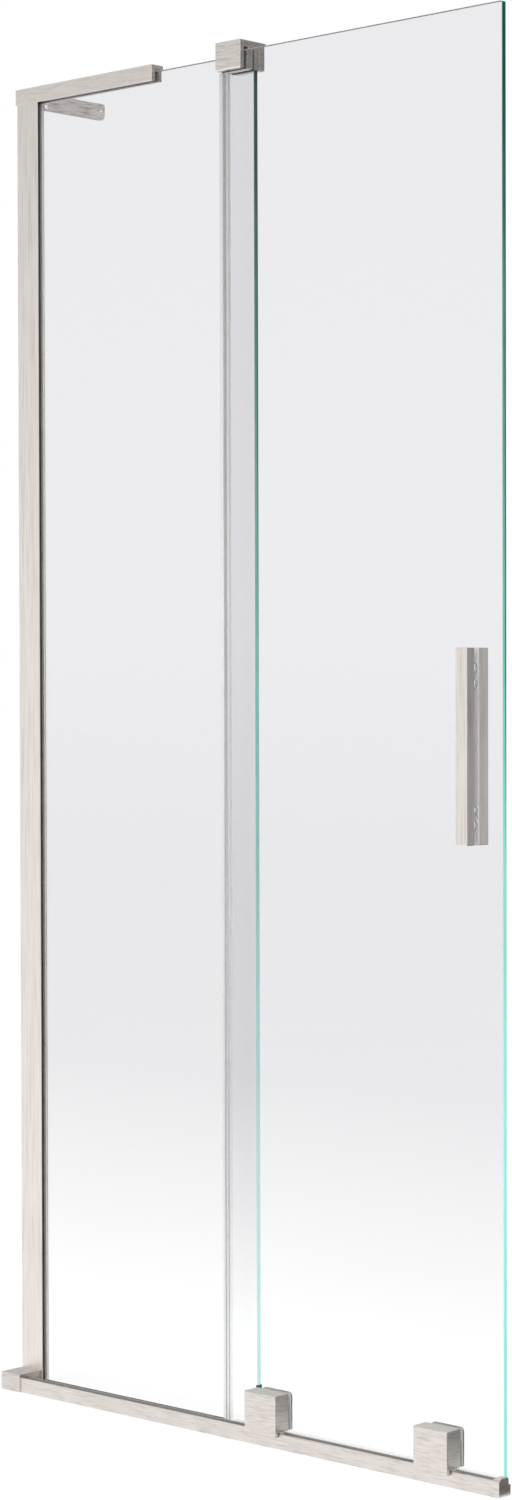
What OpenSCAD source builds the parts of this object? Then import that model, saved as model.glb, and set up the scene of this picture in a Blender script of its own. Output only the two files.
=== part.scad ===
// Sliding shower screen: a fixed glass pane held at the wall, and a glass door that
// rolls on a bottom rail in front of it.
// Origin: on the wall face, at floor level, in the middle plane of the fixed pane.
// +X runs away from the wall along the rail, +Y into the shower, +Z up. Millimetres.

/* [Overall] */
// Wall face to the free end of the bottom rail
screen_w = 980; // [940:10:1100]
// Floor to the top of the guide block
screen_h = 2000; // [1850:10:2200]
// Thickness of both glass panes
glass_t = 8; // [6:1:10]
// Radius of the ground corners of both panes
glass_corner_r = 3; // [1:0.5:6]

/* [Fixed pane] */
// How far the fixed pane reaches behind the closed door
pane_overlap = 46.5; // [40:0.5:52]
// Top of the guide block to the top edge of both panes
pane_drop = 15; // [13:0.5:20]
// Thickness of the setting strip under the fixed pane
seat_web = 4; // [2:0.5:6]
// Height of the setting strip
seat_h = 12; // [8:1:16]
// Height of the rubber bumper on the lower end of the fixed pane's free edge
bumper_h = 60; // [40:1:80]

/* [Door] */
// Free end of the rail to the free edge of the door pane
door_end_inset = 10; // [6:1:16]
// Wall face to the hidden edge of the door when it is fully open
open_gap = 72; // [64:2:90]
// Fixed pane's free edge to the handle when the door is fully open
handle_gap = 25; // [15:1:40]
// Clear gap between the two panes
pane_gap = 15.8; // [15:0.1:20]
// Floor to the bottom edge of the door pane
door_floor_gap = 18; // [17.5:0.5:20]

/* [Wall profile] */
// Depth of the wall channel, away from the wall
wall_w = 45; // [36:1:50]
// Thickness of the channel's two legs
wall_leg = 1.6; // [1.2:0.1:2.4]
// Thickness of the channel's back, against the wall
wall_back = 2.4; // [2:0.2:4]
// Thickness of each glazing gasket in the channel
wall_gasket_t = 3; // [2:0.2:4]
// Length of the glazing gaskets into the channel
wall_gasket_w = 12; // [8:1:16]
// Back of the channel to the hidden edge of the fixed pane
wall_glass_gap = 7; // [5:1:12]
// Number of wall fixing holes
wall_hole_n = 4; // [3:1:5]
// Distance between wall fixing holes
wall_hole_pitch = 600; // [400:10:600]
// Radius of the wall fixing holes
wall_hole_r = 2.75; // [2.2:0.05:3]

/* [Cap rail] */
// Length of the cap rail over the fixed pane
cap_len = 296; // [200:2:380]
// Height of the cap rail
cap_h = 24; // [20:1:30]
// Top of the guide block to the top of the cap rail
cap_drop = 5.5; // [3:0.5:7]
// Thickness of the cap rail's web, over the glass
cap_web = 5; // [3:0.5:6]
// Thickness of the cap rail's legs
cap_leg = 4.5; // [3:0.5:6]
// Thickness of the gasket between the cap rail's legs and the glass
cap_gasket_t = 3.5; // [2:0.5:5]
// Number of grub screws in the back of the cap rail
cap_screw_n = 3; // [2:1:4]

/* [Wall bracket] */
// Back of the cap rail to the far end of the wall bracket
bracket_len = 165; // [140:5:240]
// Height of the wall bracket
bracket_h = 26; // [20:1:30]
// Thickness of the wall bracket
bracket_t = 4; // [3:0.5:6]
// Length of the leg that is screwed to the cap rail
bracket_leg = 44; // [34:2:70]
// Far end of the bracket to its far hole
bracket_hole_end = 7; // [6:0.5:12]
// Height of the far hole above the bracket's lower edge
bracket_hole_z = 15; // [12:0.5:18]
// Radius of the far hole
bracket_hole_r = 3; // [2.2:0.1:3.5]
// Back of the cap rail to the near hole
near_hole_y = 40.5; // [34:0.5:60]
// Height of the near hole above the bracket's lower edge
near_hole_z = 7; // [6.5:0.5:10]
// Radius of the near hole, which is large to allow for an uneven wall
near_hole_r = 4; // [3:0.1:4.5]

/* [Guide block] */
// Width of the guide block, along the rail
guide_w = 49; // [40:1:60]
// Height of the guide block
guide_h = 41; // [36:1:50]
// Wall of the guide block in front of the door slot
guide_front = 6; // [4:0.5:10]
// Wall of the guide block behind the fixed pane
guide_rear = 11; // [9:0.5:16]
// Thickness of the gasket that grips the fixed pane
guide_gasket_t = 3; // [2:0.1:3.5]
// Thickness of the liner in the door slot
liner_t = 1.2; // [0.8:0.1:2]
// Running clearance between the liner and each face of the door
liner_gap = 0.3; // [0.2:0.1:0.8]
// Room above the door's top edge, so that it lifts off the rail
lift_room = 5; // [4:0.5:6]
// Rounding of the guide block's lower edges
guide_round = 2.5; // [0.5:0.5:4]

/* [Bottom rail] */
// Height of the bottom rail
rail_h = 22; // [20:0.5:28]
// Depth of the rail's track part
rail_d = 16; // [15:0.5:20]
// Depth of the low ledge behind the track part
ledge_d = 8; // [5:0.5:10]
// Height of the low ledge
ledge_h = 15; // [12:0.5:15.5]
// Wall of the rail around its inner chamber
rail_wall = 2; // [1.5:0.25:3]
// Width of the track groove
groove_w = 11; // [10:0.5:12]
// Depth of the track groove
groove_depth = 6; // [6:0.5:7]
// Front of the rail to the front of the door pane
door_standoff = 22; // [20.5:0.5:26]
// Thickness of the steel track strip
track_t = 1; // [0.8:0.1:1.2]
// Radius of the round bead that the rollers ride on
bead_r = 2; // [1.5:0.1:2.2]
// Length of the rubber travel stops in the groove
stop_len = 12; // [8:1:20]

/* [Rail ends] */
// Length of the end block at the wall
block_w = 40.8; // [34:0.4:42]
// Height of the end block
block_h = 26.7; // [24:0.1:34]
// How far the end block stands in front of the rail
block_lead = 3; // [1:0.5:6]
// Length of the end cap at the free end
cap_end_w = 14; // [11:1:18]
// Height of the stop hump above the rail
hump_h = 3.6; // [2:0.2:5]
// Length of the plugs that fit in the rail's chamber
plug_len = 15; // [10:1:24]
// Clearance of the plugs in the rail's chamber
plug_gap = 0.1; // [0.05:0.05:0.4]

/* [Carriages] */
// Width of a roller carriage
carriage_w = 60; // [58:1:70]
// Floor to the top of a roller carriage
carriage_top = 76; // [72:1:90]
// How far a carriage stands in front of the rail
carriage_lead = 7.5; // [5:0.5:10]
// Gap between the carriage's apron and the front of the rail
apron_gap = 1.5; // [1:0.25:2.5]
// How far the apron hangs below the top of the rail
apron_drop = 5.2; // [3:0.2:8]
// Gap between the top of the rail and the body of a carriage
carriage_gap = 2.6; // [2.2:0.2:4]
// Door's hidden edge to the middle of the left carriage
carriage_inset_left = 98; // [70:2:120]
// Door's free edge to the middle of the right carriage
carriage_inset_right = 104; // [70:2:120]
// Thickness of the soft pads that grip the door pane
pad_t = 1; // [0.6:0.1:1]
// Thickness of the clamp plates behind the door pane
plate_t = 3; // [2.8:0.1:4]
// How far a clamp plate stands back from each side of its carriage
plate_inset = 2; // [0:0.5:4]
// Corner radius of the clamp plates
plate_r = 6; // [2:0.5:10]
// Radius of the clamp holes in the door pane
clamp_hole_r = 7; // [5:0.5:8]
// Distance between the two clamp screws of a carriage
clamp_pitch = 34; // [26:1:38]
// Radius of the clamp screws
clamp_screw_r = 2.5; // [2:0.1:3]

/* [Rollers] */
// Radius of a roller over its flanges
wheel_r = 12; // [11:0.25:12]
// Width of a roller
wheel_w = 8; // [7:0.25:9]
// Depth of the groove in a roller's rim
wheel_groove = 1.9; // [1.4:0.1:2]
// Clearance between the bead and the roller's groove
bead_gap = 0.3; // [0.25:0.05:0.4]
// Distance between the two rollers of a carriage
wheel_pitch = 26; // [25:0.5:27]
// Outer radius of a roller's ball bearing
bearing_r = 8; // [6.5:0.1:8.5]
// Width of a roller's ball bearing
bearing_w = 5; // [4:0.25:6]
// Radius of the axle pins
axle_r = 3; // [2.5:0.1:3.5]
// Running clearance of a bearing on its axle, on the radius
axle_gap = 0.05; // [0.03:0.01:0.08]

/* [Handle] */
// Length of the handle bars
handle_len = 265; // [240:5:400]
// Width of the handle bars
handle_w = 19.5; // [16:0.5:26]
// Depth of the front bar
handle_front_d = 17.5; // [14:0.5:24]
// Depth of the rear bar
handle_rear_d = 21; // [14:0.5:24]
// Door's free edge to the handle
handle_inset = 47; // [38:1:52]
// Floor to the middle of the handle
handle_z = 997; // [900:1:1100]
// Thickness of the washers between the bars and the glass
washer_t = 1.4; // [0.8:0.1:2]
// Radius of the spacers that pass through the glass
spacer_r = 6; // [5:0.5:6.5]
// Handle's end to the first fixing
fixing_end = 27; // [20:1:40]
// Distance between the two fixings at each end
fixing_pitch = 20.5; // [18:0.5:26]

/* [Door seals] */
// Wall thickness of the clear seals
seal_t = 1.2; // [0.8:0.1:1.4]
// Width of the edge seal's grip on the door pane
seal_grip = 18; // [12:1:20]
// Gap between the sealing fins and what they wipe
fin_gap = 0.4; // [0.3:0.1:0.8]

/* [Hidden] */
$fn = 48;
arc_n = 5;
over = 1;
edge_r = 1.5;
fine_r = 0.8;
sharp_r = 0.5;
// Clearance of a pin or thread that is pressed or screwed in, and of one that passes through
snug = 0.02;
loose = 0.1;
// Radius of the small and large hexagon sockets in the screws
socket_r = 1.2;
large_socket_r = 1.5;

// Planes across the screen
y_fix_front = -glass_t / 2;
y_fix_back = glass_t / 2;
y_door_back = y_fix_front - pane_gap;
y_door_front = y_door_back - glass_t;
y_rail = y_door_front - door_standoff;
y_track = y_rail + rail_d / 2;
y_carriage = y_rail - carriage_lead;
y_carriage_back = y_door_front - pad_t;

// Places along the screen. The door rolls as far as the wall and the handle allow.
door_x1 = screen_w - door_end_inset;
door_spare = pane_overlap + handle_gap + handle_w + handle_inset;
door_travel = (door_x1 - open_gap - door_spare) / 2;
door_w = door_travel + door_spare;
door_x0 = door_x1 - door_w;
fixed_edge_x = door_x0 + pane_overlap;
carriage_x = [door_x0 + carriage_inset_left, door_x1 - carriage_inset_right];
wheel_x = [for (c = carriage_x, s = [-1, 1]) c + s * wheel_pitch / 2];
rail_x1 = screen_w - cap_end_w;
guide_x0 = fixed_edge_x - guide_w;
handle_x0 = door_x1 - handle_inset - handle_w;

// Heights
pane_top = screen_h - pane_drop;
guide_z0 = screen_h - guide_h;
cap_z1 = screen_h - cap_drop;
cap_z0 = cap_z1 - cap_h;
groove_z = rail_h - groove_depth;
bead_z = groove_z + track_t;
rim_r = wheel_r - wheel_groove;
axle_z = bead_z + bead_r + bead_gap + rim_r;
carriage_z0 = rail_h + carriage_gap;
clamp_z = carriage_top - 16;
seal_top = guide_z0 - 2;

// Wall channel across the glass
wall_half = y_fix_back + wall_gasket_t + wall_leg;
cap_half = y_fix_back + cap_gasket_t + cap_leg;

// Points on an arc of radius r around c, from angle a to angle b
function arc(c, r, a, b) =
    [for (i = [0:arc_n]) c + r * [cos(a + (b - a) * i / arc_n), sin(a + (b - a) * i / arc_n)]];

// Rectangle from p to q with a radius for each corner: lower left, lower right, upper right, upper left
function rounded(p, q, r) = concat(
    arc([p[0] + r[0], p[1] + r[0]], r[0], 180, 270),
    arc([q[0] - r[1], p[1] + r[1]], r[1], 270, 360),
    arc([q[0] - r[2], q[1] - r[2]], r[2], 0, 90),
    arc([p[0] + r[3], q[1] - r[3]], r[3], 90, 180));

// Extrusions of an outline drawn as (Y, Z), (X, Z) and (X, Y)
module along_x(x0, x1) {
    translate([x0, 0, 0]) rotate([90, 0, 90]) linear_extrude(height = x1 - x0) children();
}

module along_y(y0, y1) {
    translate([0, y1, 0]) rotate([90, 0, 0]) linear_extrude(height = y1 - y0) children();
}

module along_z(z0, z1) {
    translate([0, 0, z0]) linear_extrude(height = z1 - z0) children();
}

module box(p, q) {
    translate(p) cube(q - p);
}

// Round bar along Y from y0 to y1 at (x, z)
module rod_y(x, z, y0, y1, r) {
    translate([x, y0, z]) rotate([-90, 0, 0]) cylinder(r = r, h = y1 - y0);
}

// Ring along Y
module ring_y(x, z, y0, y1, r_in, r_out) {
    difference() {
        rod_y(x, z, y0, y1, r_out);
        rod_y(x, z, y0 - over, y1 + over, r_in);
    }
}

// Cone along Y from radius r0 at y0 to r1 at y1
module cone_y(x, z, y0, y1, r0, r1) {
    translate([x, y0, z]) rotate([-90, 0, 0]) cylinder(r1 = r0, r2 = r1, h = y1 - y0);
}

wall_hole_z = [for (i = [0:wall_hole_n - 1]) cap_z0 / 2 + (i - (wall_hole_n - 1) / 2) * wall_hole_pitch];

module wall_profile() {
    lip = 1.2;
    inner = y_fix_back + wall_gasket_t;
    color([0.80, 0.77, 0.74]) difference() {
        along_z(0, cap_z0) difference() {
            polygon(rounded([0, -wall_half], [wall_w, wall_half], [0.01, fine_r, fine_r, 0.01]));
            polygon([[wall_back, -inner], [wall_w + over, -inner],
                [wall_w + over, inner], [wall_back, inner]]);
        }
        for (z = wall_hole_z) translate([0, 0, z]) rotate([0, 90, 0]) {
            translate([0, 0, -over]) cylinder(r = wall_hole_r, h = wall_back + 2 * over);
            translate([0, 0, wall_back - lip])
                cylinder(r1 = wall_hole_r, r2 = wall_hole_r + lip + over, h = lip + over);
        }
    }
}

// Outline of a strip between the pane and a leg of the channel, on the side s of the pane
module wall_strip(s, proud) {
    x1 = wall_w + proud;
    x0 = x1 - wall_gasket_w;
    polygon([[x0, s * y_fix_back], [x1, s * y_fix_back], [x1, s * (y_fix_back + 1)],
        [x1 - 0.6, s * (y_fix_back + wall_gasket_t)], [x0, s * (y_fix_back + wall_gasket_t)]]);
}

module wall_gasket() {
    color([0.12, 0.12, 0.12]) along_z(0, cap_z0) wall_strip(-1, 0.6);
}

module wall_wedge() {
    color([0.45, 0.45, 0.45]) along_z(0, cap_z0) wall_strip(1, 0.2);
}

module fixed_glass() {
    r = glass_corner_r;
    color([0.80, 0.92, 0.89, 0.4]) along_y(y_fix_front, y_fix_back)
        polygon(rounded([wall_back + wall_glass_gap, seat_web], [fixed_edge_x, pane_top], [r, r, r, r]));
}

module fixed_seat() {
    side = 1.6;
    color([0.15, 0.15, 0.15]) along_x(wall_w + 1, fixed_edge_x) difference() {
        polygon(rounded([y_fix_front - side, 0], [y_fix_back + side, seat_h], [0.3, 0.3, fine_r, fine_r]));
        polygon([[y_fix_front, seat_web], [y_fix_back, seat_web], [y_fix_back, seat_h + over],
            [y_fix_front, seat_h + over]]);
    }
}

// Rubber channel on the lower end of the fixed pane's free edge
module pane_bumper() {
    side = 1;
    grip = 2;
    x1 = fixed_edge_x + side;
    color([0.05, 0.05, 0.05]) along_z(seat_h, seat_h + bumper_h) difference() {
        polygon(rounded([fixed_edge_x - grip, y_fix_front - side], [x1, y_fix_back + side],
            [fine_r, fine_r, fine_r, fine_r]));
        polygon([[fixed_edge_x - grip - over, y_fix_front], [fixed_edge_x, y_fix_front],
            [fixed_edge_x, y_fix_back], [fixed_edge_x - grip - over, y_fix_back]]);
    }
}

cap_screw_x = [for (i = [1:cap_screw_n]) bracket_leg + (cap_len - bracket_leg) * (i - 0.5) / cap_screw_n];
cap_screw_r = 2.5;
cap_screw_z = cap_z0 + cap_h / 2 - 3;
bracket_screw_x = [for (s = [0.4, 0.8]) bracket_leg * s];
bracket_screw_r = 2;

module cap_rail() {
    inner = y_fix_back + cap_gasket_t;
    color([0.80, 0.77, 0.74]) difference() {
        along_x(0, cap_len) difference() {
            polygon(rounded([-cap_half, cap_z0], [cap_half, cap_z1], [sharp_r, sharp_r, fine_r, fine_r]));
            polygon([[-inner, cap_z0 - over], [inner, cap_z0 - over], [inner, cap_z1 - cap_web],
                [-inner, cap_z1 - cap_web]]);
        }
        for (x = cap_screw_x) rod_y(x, cap_screw_z, inner - over, cap_half + over, cap_screw_r);
        for (x = bracket_screw_x) rod_y(x, cap_screw_z, inner - over, cap_half + over, bracket_screw_r);
    }
}

module cap_gasket() {
    inner = y_fix_back + cap_gasket_t;
    color([0.12, 0.12, 0.12]) along_x(wall_back + wall_glass_gap, cap_len) difference() {
        polygon([[-inner, cap_z0 + 1.5], [inner, cap_z0 + 1.5], [inner, cap_z1 - cap_web],
            [-inner, cap_z1 - cap_web]]);
        polygon([[y_fix_front, cap_z0], [y_fix_back, cap_z0],
            [y_fix_back, pane_top], [y_fix_front, pane_top]]);
    }
}

module cap_screws() {
    inner = y_fix_back + cap_gasket_t;
    color([0.60, 0.60, 0.60]) for (x = cap_screw_x) difference() {
        rod_y(x, cap_screw_z, inner, cap_half - 0.4, cap_screw_r - snug);
        rod_y(x, cap_screw_z, cap_half - 2.4, cap_half + over, socket_r);
    }
}

bracket_y1 = cap_half + bracket_len;
bracket_z1 = cap_z0 + bracket_h;
bracket_holes = [[bracket_y1 - bracket_hole_end, cap_z0 + bracket_hole_z, bracket_hole_r],
    [cap_half + near_hole_y, cap_z0 + near_hole_z, near_hole_r]];

module wall_bracket() {
    color([0.78, 0.76, 0.73]) difference() {
        union() {
            along_x(0, bracket_t)
                polygon(rounded([cap_half, cap_z0], [bracket_y1, bracket_z1], [sharp_r, 9, 3, sharp_r]));
            along_y(cap_half, cap_half + bracket_t)
                polygon(rounded([bracket_t - over, cap_z0], [bracket_leg, cap_z1],
                    [sharp_r, 4, 4, sharp_r]));
        }
        for (h = bracket_holes) translate([-over, h[0], h[1]]) rotate([0, 90, 0])
            cylinder(r = h[2], h = bracket_t + 2 * over);
        for (x = bracket_screw_x)
            rod_y(x, cap_screw_z, cap_half - over, cap_half + bracket_t + over, bracket_screw_r + loose);
    }
}

module bracket_screws() {
    head_y = cap_half + bracket_t;
    color([0.60, 0.60, 0.60]) for (x = bracket_screw_x) difference() {
        union() {
            rod_y(x, cap_screw_z, cap_half - cap_leg, head_y + over, bracket_screw_r - snug);
            rod_y(x, cap_screw_z, head_y, head_y + 2.2, 2 * bracket_screw_r - 0.2);
        }
        rod_y(x, cap_screw_z, head_y + 1, head_y + 3, socket_r);
    }
}

// The guide block's slots, across the screen and upwards
slot_y0 = y_door_front - liner_gap - liner_t;
slot_y1 = y_door_back + liner_gap + liner_t;
slot_top = pane_top + lift_room + liner_t;
grip_y = y_fix_back + guide_gasket_t;
grip_top = pane_top + 2;
guide_y0 = slot_y0 - guide_front;
guide_y1 = grip_y + guide_rear;
guide_screw_x = [for (s = [-1, 1]) guide_x0 + guide_w / 2 + s * guide_w / 4];
guide_screw_z = guide_z0 + guide_h / 3;
guide_screw_r = 3;

module guide_block() {
    r = guide_round;
    color([0.80, 0.77, 0.74]) difference() {
        intersection() {
            along_x(guide_x0, fixed_edge_x)
                polygon(rounded([guide_y0, guide_z0], [guide_y1, screen_h], [r, r, fine_r, fine_r]));
            along_y(guide_y0 - over, guide_y1 + over)
                polygon(rounded([guide_x0, guide_z0], [fixed_edge_x, screen_h], [r, r, fine_r, fine_r]));
        }
        box([guide_x0 - over, slot_y0, guide_z0 - over], [fixed_edge_x + over, slot_y1, slot_top]);
        box([guide_x0 - over, -grip_y, guide_z0 - over], [fixed_edge_x + over, grip_y, grip_top]);
        for (x = guide_screw_x) rod_y(x, guide_screw_z, grip_y - over, guide_y1 + over, guide_screw_r);
    }
}

module guide_gasket() {
    color([0.10, 0.10, 0.10]) along_x(guide_x0, fixed_edge_x)
        polygon([[-grip_y, guide_z0], [y_fix_front, guide_z0], [y_fix_front, grip_top], [-grip_y, grip_top]]);
}

// Clear pad behind and over the fixed pane
module guide_pad() {
    color([0.85, 0.87, 0.87]) along_x(guide_x0, fixed_edge_x)
        polygon([[y_fix_front, pane_top], [y_fix_back, pane_top], [y_fix_back, guide_z0],
            [grip_y, guide_z0], [grip_y, grip_top], [y_fix_front, grip_top]]);
}

module guide_liner() {
    color([0.85, 0.85, 0.83]) along_x(guide_x0, fixed_edge_x) difference() {
        polygon([[slot_y0, guide_z0], [slot_y1, guide_z0], [slot_y1, slot_top], [slot_y0, slot_top]]);
        polygon([[slot_y0 + liner_t, guide_z0 - over], [slot_y1 - liner_t, guide_z0 - over],
            [slot_y1 - liner_t, slot_top - liner_t], [slot_y0 + liner_t, slot_top - liner_t]]);
    }
}

module guide_screws() {
    color([0.60, 0.60, 0.60]) for (x = guide_screw_x) difference() {
        rod_y(x, guide_screw_z, grip_y, guide_y1 - 0.4, guide_screw_r - snug);
        rod_y(x, guide_screw_z, guide_y1 - 3, guide_y1 + over, large_socket_r);
    }
}

// The rail's outline: a tall track part with a groove, and a low ledge behind it
function rail_outline() = concat(
    [[y_rail, 0], [y_rail + rail_d + ledge_d, 0]],
    arc([y_rail + rail_d + ledge_d - fine_r, ledge_h - fine_r], fine_r, 0, 90),
    [[y_rail + rail_d, ledge_h]],
    arc([y_rail + rail_d - fine_r, rail_h - fine_r], fine_r, 0, 90),
    [[y_track + groove_w / 2, rail_h], [y_track + groove_w / 2, groove_z],
        [y_track - groove_w / 2, groove_z], [y_track - groove_w / 2, rail_h]],
    arc([y_rail + fine_r, rail_h - fine_r], fine_r, 90, 180));

// The hollow chamber under the groove, shrunk by gap for the plugs that fit in it
module chamber(gap) {
    polygon([[y_rail + rail_wall + gap, rail_wall + gap],
        [y_rail + rail_d - rail_wall - gap, rail_wall + gap],
        [y_rail + rail_d - rail_wall - gap, groove_z - rail_wall - gap],
        [y_rail + rail_wall + gap, groove_z - rail_wall - gap]]);
}

module bottom_rail() {
    color([0.80, 0.77, 0.74]) along_x(block_w, rail_x1) difference() {
        polygon(rail_outline());
        chamber(0);
        polygon([[y_rail + rail_d, rail_wall], [y_rail + rail_d + ledge_d - rail_wall, rail_wall],
            [y_rail + rail_d + ledge_d - rail_wall, ledge_h - rail_wall],
            [y_rail + rail_d, ledge_h - rail_wall]]);
    }
}

module rail_track() {
    half = groove_w / 2 - snug;
    color([0.68, 0.68, 0.68]) along_x(block_w, rail_x1)
        polygon(concat([[y_track - half, groove_z], [y_track + half, groove_z], [y_track + half, bead_z]],
            arc([y_track, bead_z], bead_r, 0, 90), arc([y_track, bead_z], bead_r, 90, 180),
            [[y_track - half, bead_z]]));
}

shoe_x = carriage_w / 2 - 0.5;
tab_len = 3.5;
tab_gap = 0.3;
tab_half = groove_w / 2 - 1;
stop_half = groove_w / 2 - 0.1;
closed_stop_x = carriage_x[1] + shoe_x + tab_gap;
open_stop_x = carriage_x[0] - shoe_x - door_travel - tab_gap - stop_len;

module travel_stops() {
    color([0.10, 0.10, 0.10]) for (x = [open_stop_x, closed_stop_x]) along_x(x, x + stop_len)
        polygon(concat([[y_track + stop_half, bead_z], [y_track + stop_half, rail_h - 0.5],
            [y_track - stop_half, rail_h - 0.5], [y_track - stop_half, bead_z]],
            arc([y_track, bead_z], bead_r + snug, 180, 90), arc([y_track, bead_z], bead_r + snug, 90, 0)));
}

module end_block() {
    y0 = y_rail - block_lead;
    color([0.80, 0.77, 0.74]) {
        intersection() {
            along_x(0, block_w)
                polygon(rounded([y0, 0], [-wall_half, block_h], [sharp_r, sharp_r, sharp_r, edge_r]));
            along_z(0, block_h)
                polygon(rounded([0, y0], [block_w, -wall_half], [edge_r, edge_r, sharp_r, sharp_r]));
        }
        along_x(block_w - over, block_w + plug_len) chamber(plug_gap);
    }
}

// The end cap: the rail's outline with a rounded stop hump on top
module rail_end_cap() {
    back_r = 4;
    front_r = 7;
    ramp_r = 8;
    back = y_rail + rail_d + ledge_d / 2;
    y_ledge = y_rail + rail_d + ledge_d;
    top = rail_h + hump_h;
    color([0.76, 0.73, 0.70]) {
        intersection() {
            along_x(rail_x1, screen_w) polygon(concat(
                [[y_rail, 0], [y_ledge, 0]],
                arc([y_ledge - fine_r, ledge_h - fine_r], fine_r, 0, 90),
                [[back, ledge_h]],
                arc([back - back_r, top - back_r], back_r, 0, 90),
                arc([y_rail + front_r, top - front_r], front_r, 90, 150),
                [[y_rail, rail_h - 0.5]]));
            along_y(y_rail - over, y_ledge + over) polygon(concat(
                [[rail_x1, 0], [screen_w, 0]],
                arc([screen_w - fine_r, top - fine_r], fine_r, 0, 90),
                arc([rail_x1 + ramp_r, top - ramp_r], ramp_r, 90, 90 + acos((ramp_r - hump_h) / ramp_r)),
                [[rail_x1, rail_h]]));
        }
        along_x(rail_x1 - plug_len, rail_x1 + over) chamber(plug_gap);
    }
}

fixing_z = [for (s = [-1, 1], i = [0, 1]) handle_z + s * (handle_len / 2 - fixing_end - i * fixing_pitch)];
handle_x = handle_x0 + handle_w / 2;
clamp_x = [for (c = carriage_x) [for (s = [-1, 1]) c + s * clamp_pitch / 2]];

module door_glass() {
    r = glass_corner_r;
    color([0.80, 0.92, 0.89, 0.4]) difference() {
        along_y(y_door_front, y_door_back)
            polygon(rounded([door_x0, door_floor_gap], [door_x1, pane_top], [r, r, r, r]));
        for (pair = clamp_x, x = pair)
            rod_y(x, clamp_z, y_door_front - over, y_door_back + over, clamp_hole_r);
        for (z = fixing_z) rod_y(handle_x, z, y_door_front - over, y_door_back + over, spacer_r + 1);
    }
}

// Clear strip clipped on the door's hidden edge, with a fin that wipes the fixed pane
module door_seal() {
    t = seal_t;
    tip_y = y_fix_front - fin_gap;
    lean = 1.3;
    tip_x = door_x0 - lean;
    color([0.90, 0.93, 0.93, 0.6]) along_z(door_floor_gap, seal_top) polygon([
        [door_x0 - t, y_door_front - t], [door_x0 + seal_grip, y_door_front - t],
        [door_x0 + seal_grip, y_door_front], [door_x0, y_door_front], [door_x0, y_door_back],
        [door_x0 + seal_grip - 4, y_door_back], [door_x0 + seal_grip - 4, y_door_back + t],
        [door_x0 + t, y_door_back + t], [tip_x, tip_y], [tip_x - t, tip_y],
        [door_x0 - t, y_door_back + t]]);
}

// Clear strip under the door, with a fin down to the rail's ledge
module door_sweep() {
    t = seal_t;
    z0 = door_floor_gap - t;
    leg_top = rail_h;
    fin_y = y_rail + rail_d + ledge_d - 2;
    color([0.90, 0.93, 0.93, 0.6]) along_x(door_x0 + seal_grip + 1, door_x1 - 2) polygon([
        [y_door_front - t, z0], [fin_y - t, z0], [fin_y - t, ledge_h + fin_gap],
        [fin_y, ledge_h + fin_gap], [fin_y, z0], [y_door_back + t, z0],
        [y_door_back + t, leg_top], [y_door_back, leg_top], [y_door_back, door_floor_gap],
        [y_door_front, door_floor_gap], [y_door_front, leg_top], [y_door_front - t, leg_top]]);
}

// Room for the two rollers inside a carriage
well_x = wheel_pitch / 2 + wheel_r + 0.8;
well_half = 5.5;
well_round = 6;
well_top = axle_z + wheel_r + 1.5;
axle_y0 = y_carriage + 5;
axle_y1 = y_carriage_back - 0.4;
screw_depth = 12;

module carriage(c) {
    x0 = c - carriage_w / 2;
    x1 = c + carriage_w / 2;
    apron_back = y_rail - apron_gap;
    color([0.80, 0.77, 0.74]) difference() {
        intersection() {
            along_x(x0, x1) polygon(concat(
                [[y_carriage, rail_h - apron_drop], [apron_back, rail_h - apron_drop],
                    [apron_back, carriage_z0], [y_carriage_back, carriage_z0]],
                arc([y_carriage_back - fine_r, carriage_top - fine_r], fine_r, 0, 90),
                arc([y_carriage + edge_r, carriage_top - edge_r], edge_r, 90, 180)));
            along_z(0, carriage_top + over)
                polygon(rounded([x0, y_carriage], [x1, y_carriage_back],
                    [edge_r, edge_r, sharp_r, sharp_r]));
        }
        along_y(y_track - well_half, y_track + well_half)
            polygon(rounded([c - well_x, 0], [c + well_x, well_top],
                [sharp_r, sharp_r, well_round, well_round]));
        for (s = [-1, 1])
            rod_y(c + s * wheel_pitch / 2, axle_z, axle_y0, y_carriage_back + over, axle_r + snug);
        for (s = [-1, 1])
            rod_y(c + s * clamp_pitch / 2, clamp_z, y_carriage_back - screw_depth, y_carriage_back + over,
                clamp_screw_r + snug);
    }
}

plate_y0 = y_door_back + pad_t;
plate_z0 = rail_h + 0.5;
plate_z1 = carriage_top;
head_h = 2.6;

// Outline of a clamp plate and its pads
module plate_outline(c) {
    w = carriage_w / 2 - plate_inset;
    polygon(rounded([c - w, plate_z0], [c + w, plate_z1], [2, 2, plate_r, plate_r]));
}

module clamp_plate(i) {
    color([0.72, 0.70, 0.67]) difference() {
        along_y(plate_y0, plate_y0 + plate_t) plate_outline(carriage_x[i]);
        for (x = clamp_x[i]) {
            rod_y(x, clamp_z, plate_y0 - over, plate_y0 + plate_t + over, clamp_screw_r + loose);
            cone_y(x, clamp_z, plate_y0 + plate_t - head_h, plate_y0 + plate_t + over,
                clamp_screw_r + loose, clamp_screw_r + loose + head_h + over);
        }
    }
}

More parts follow.
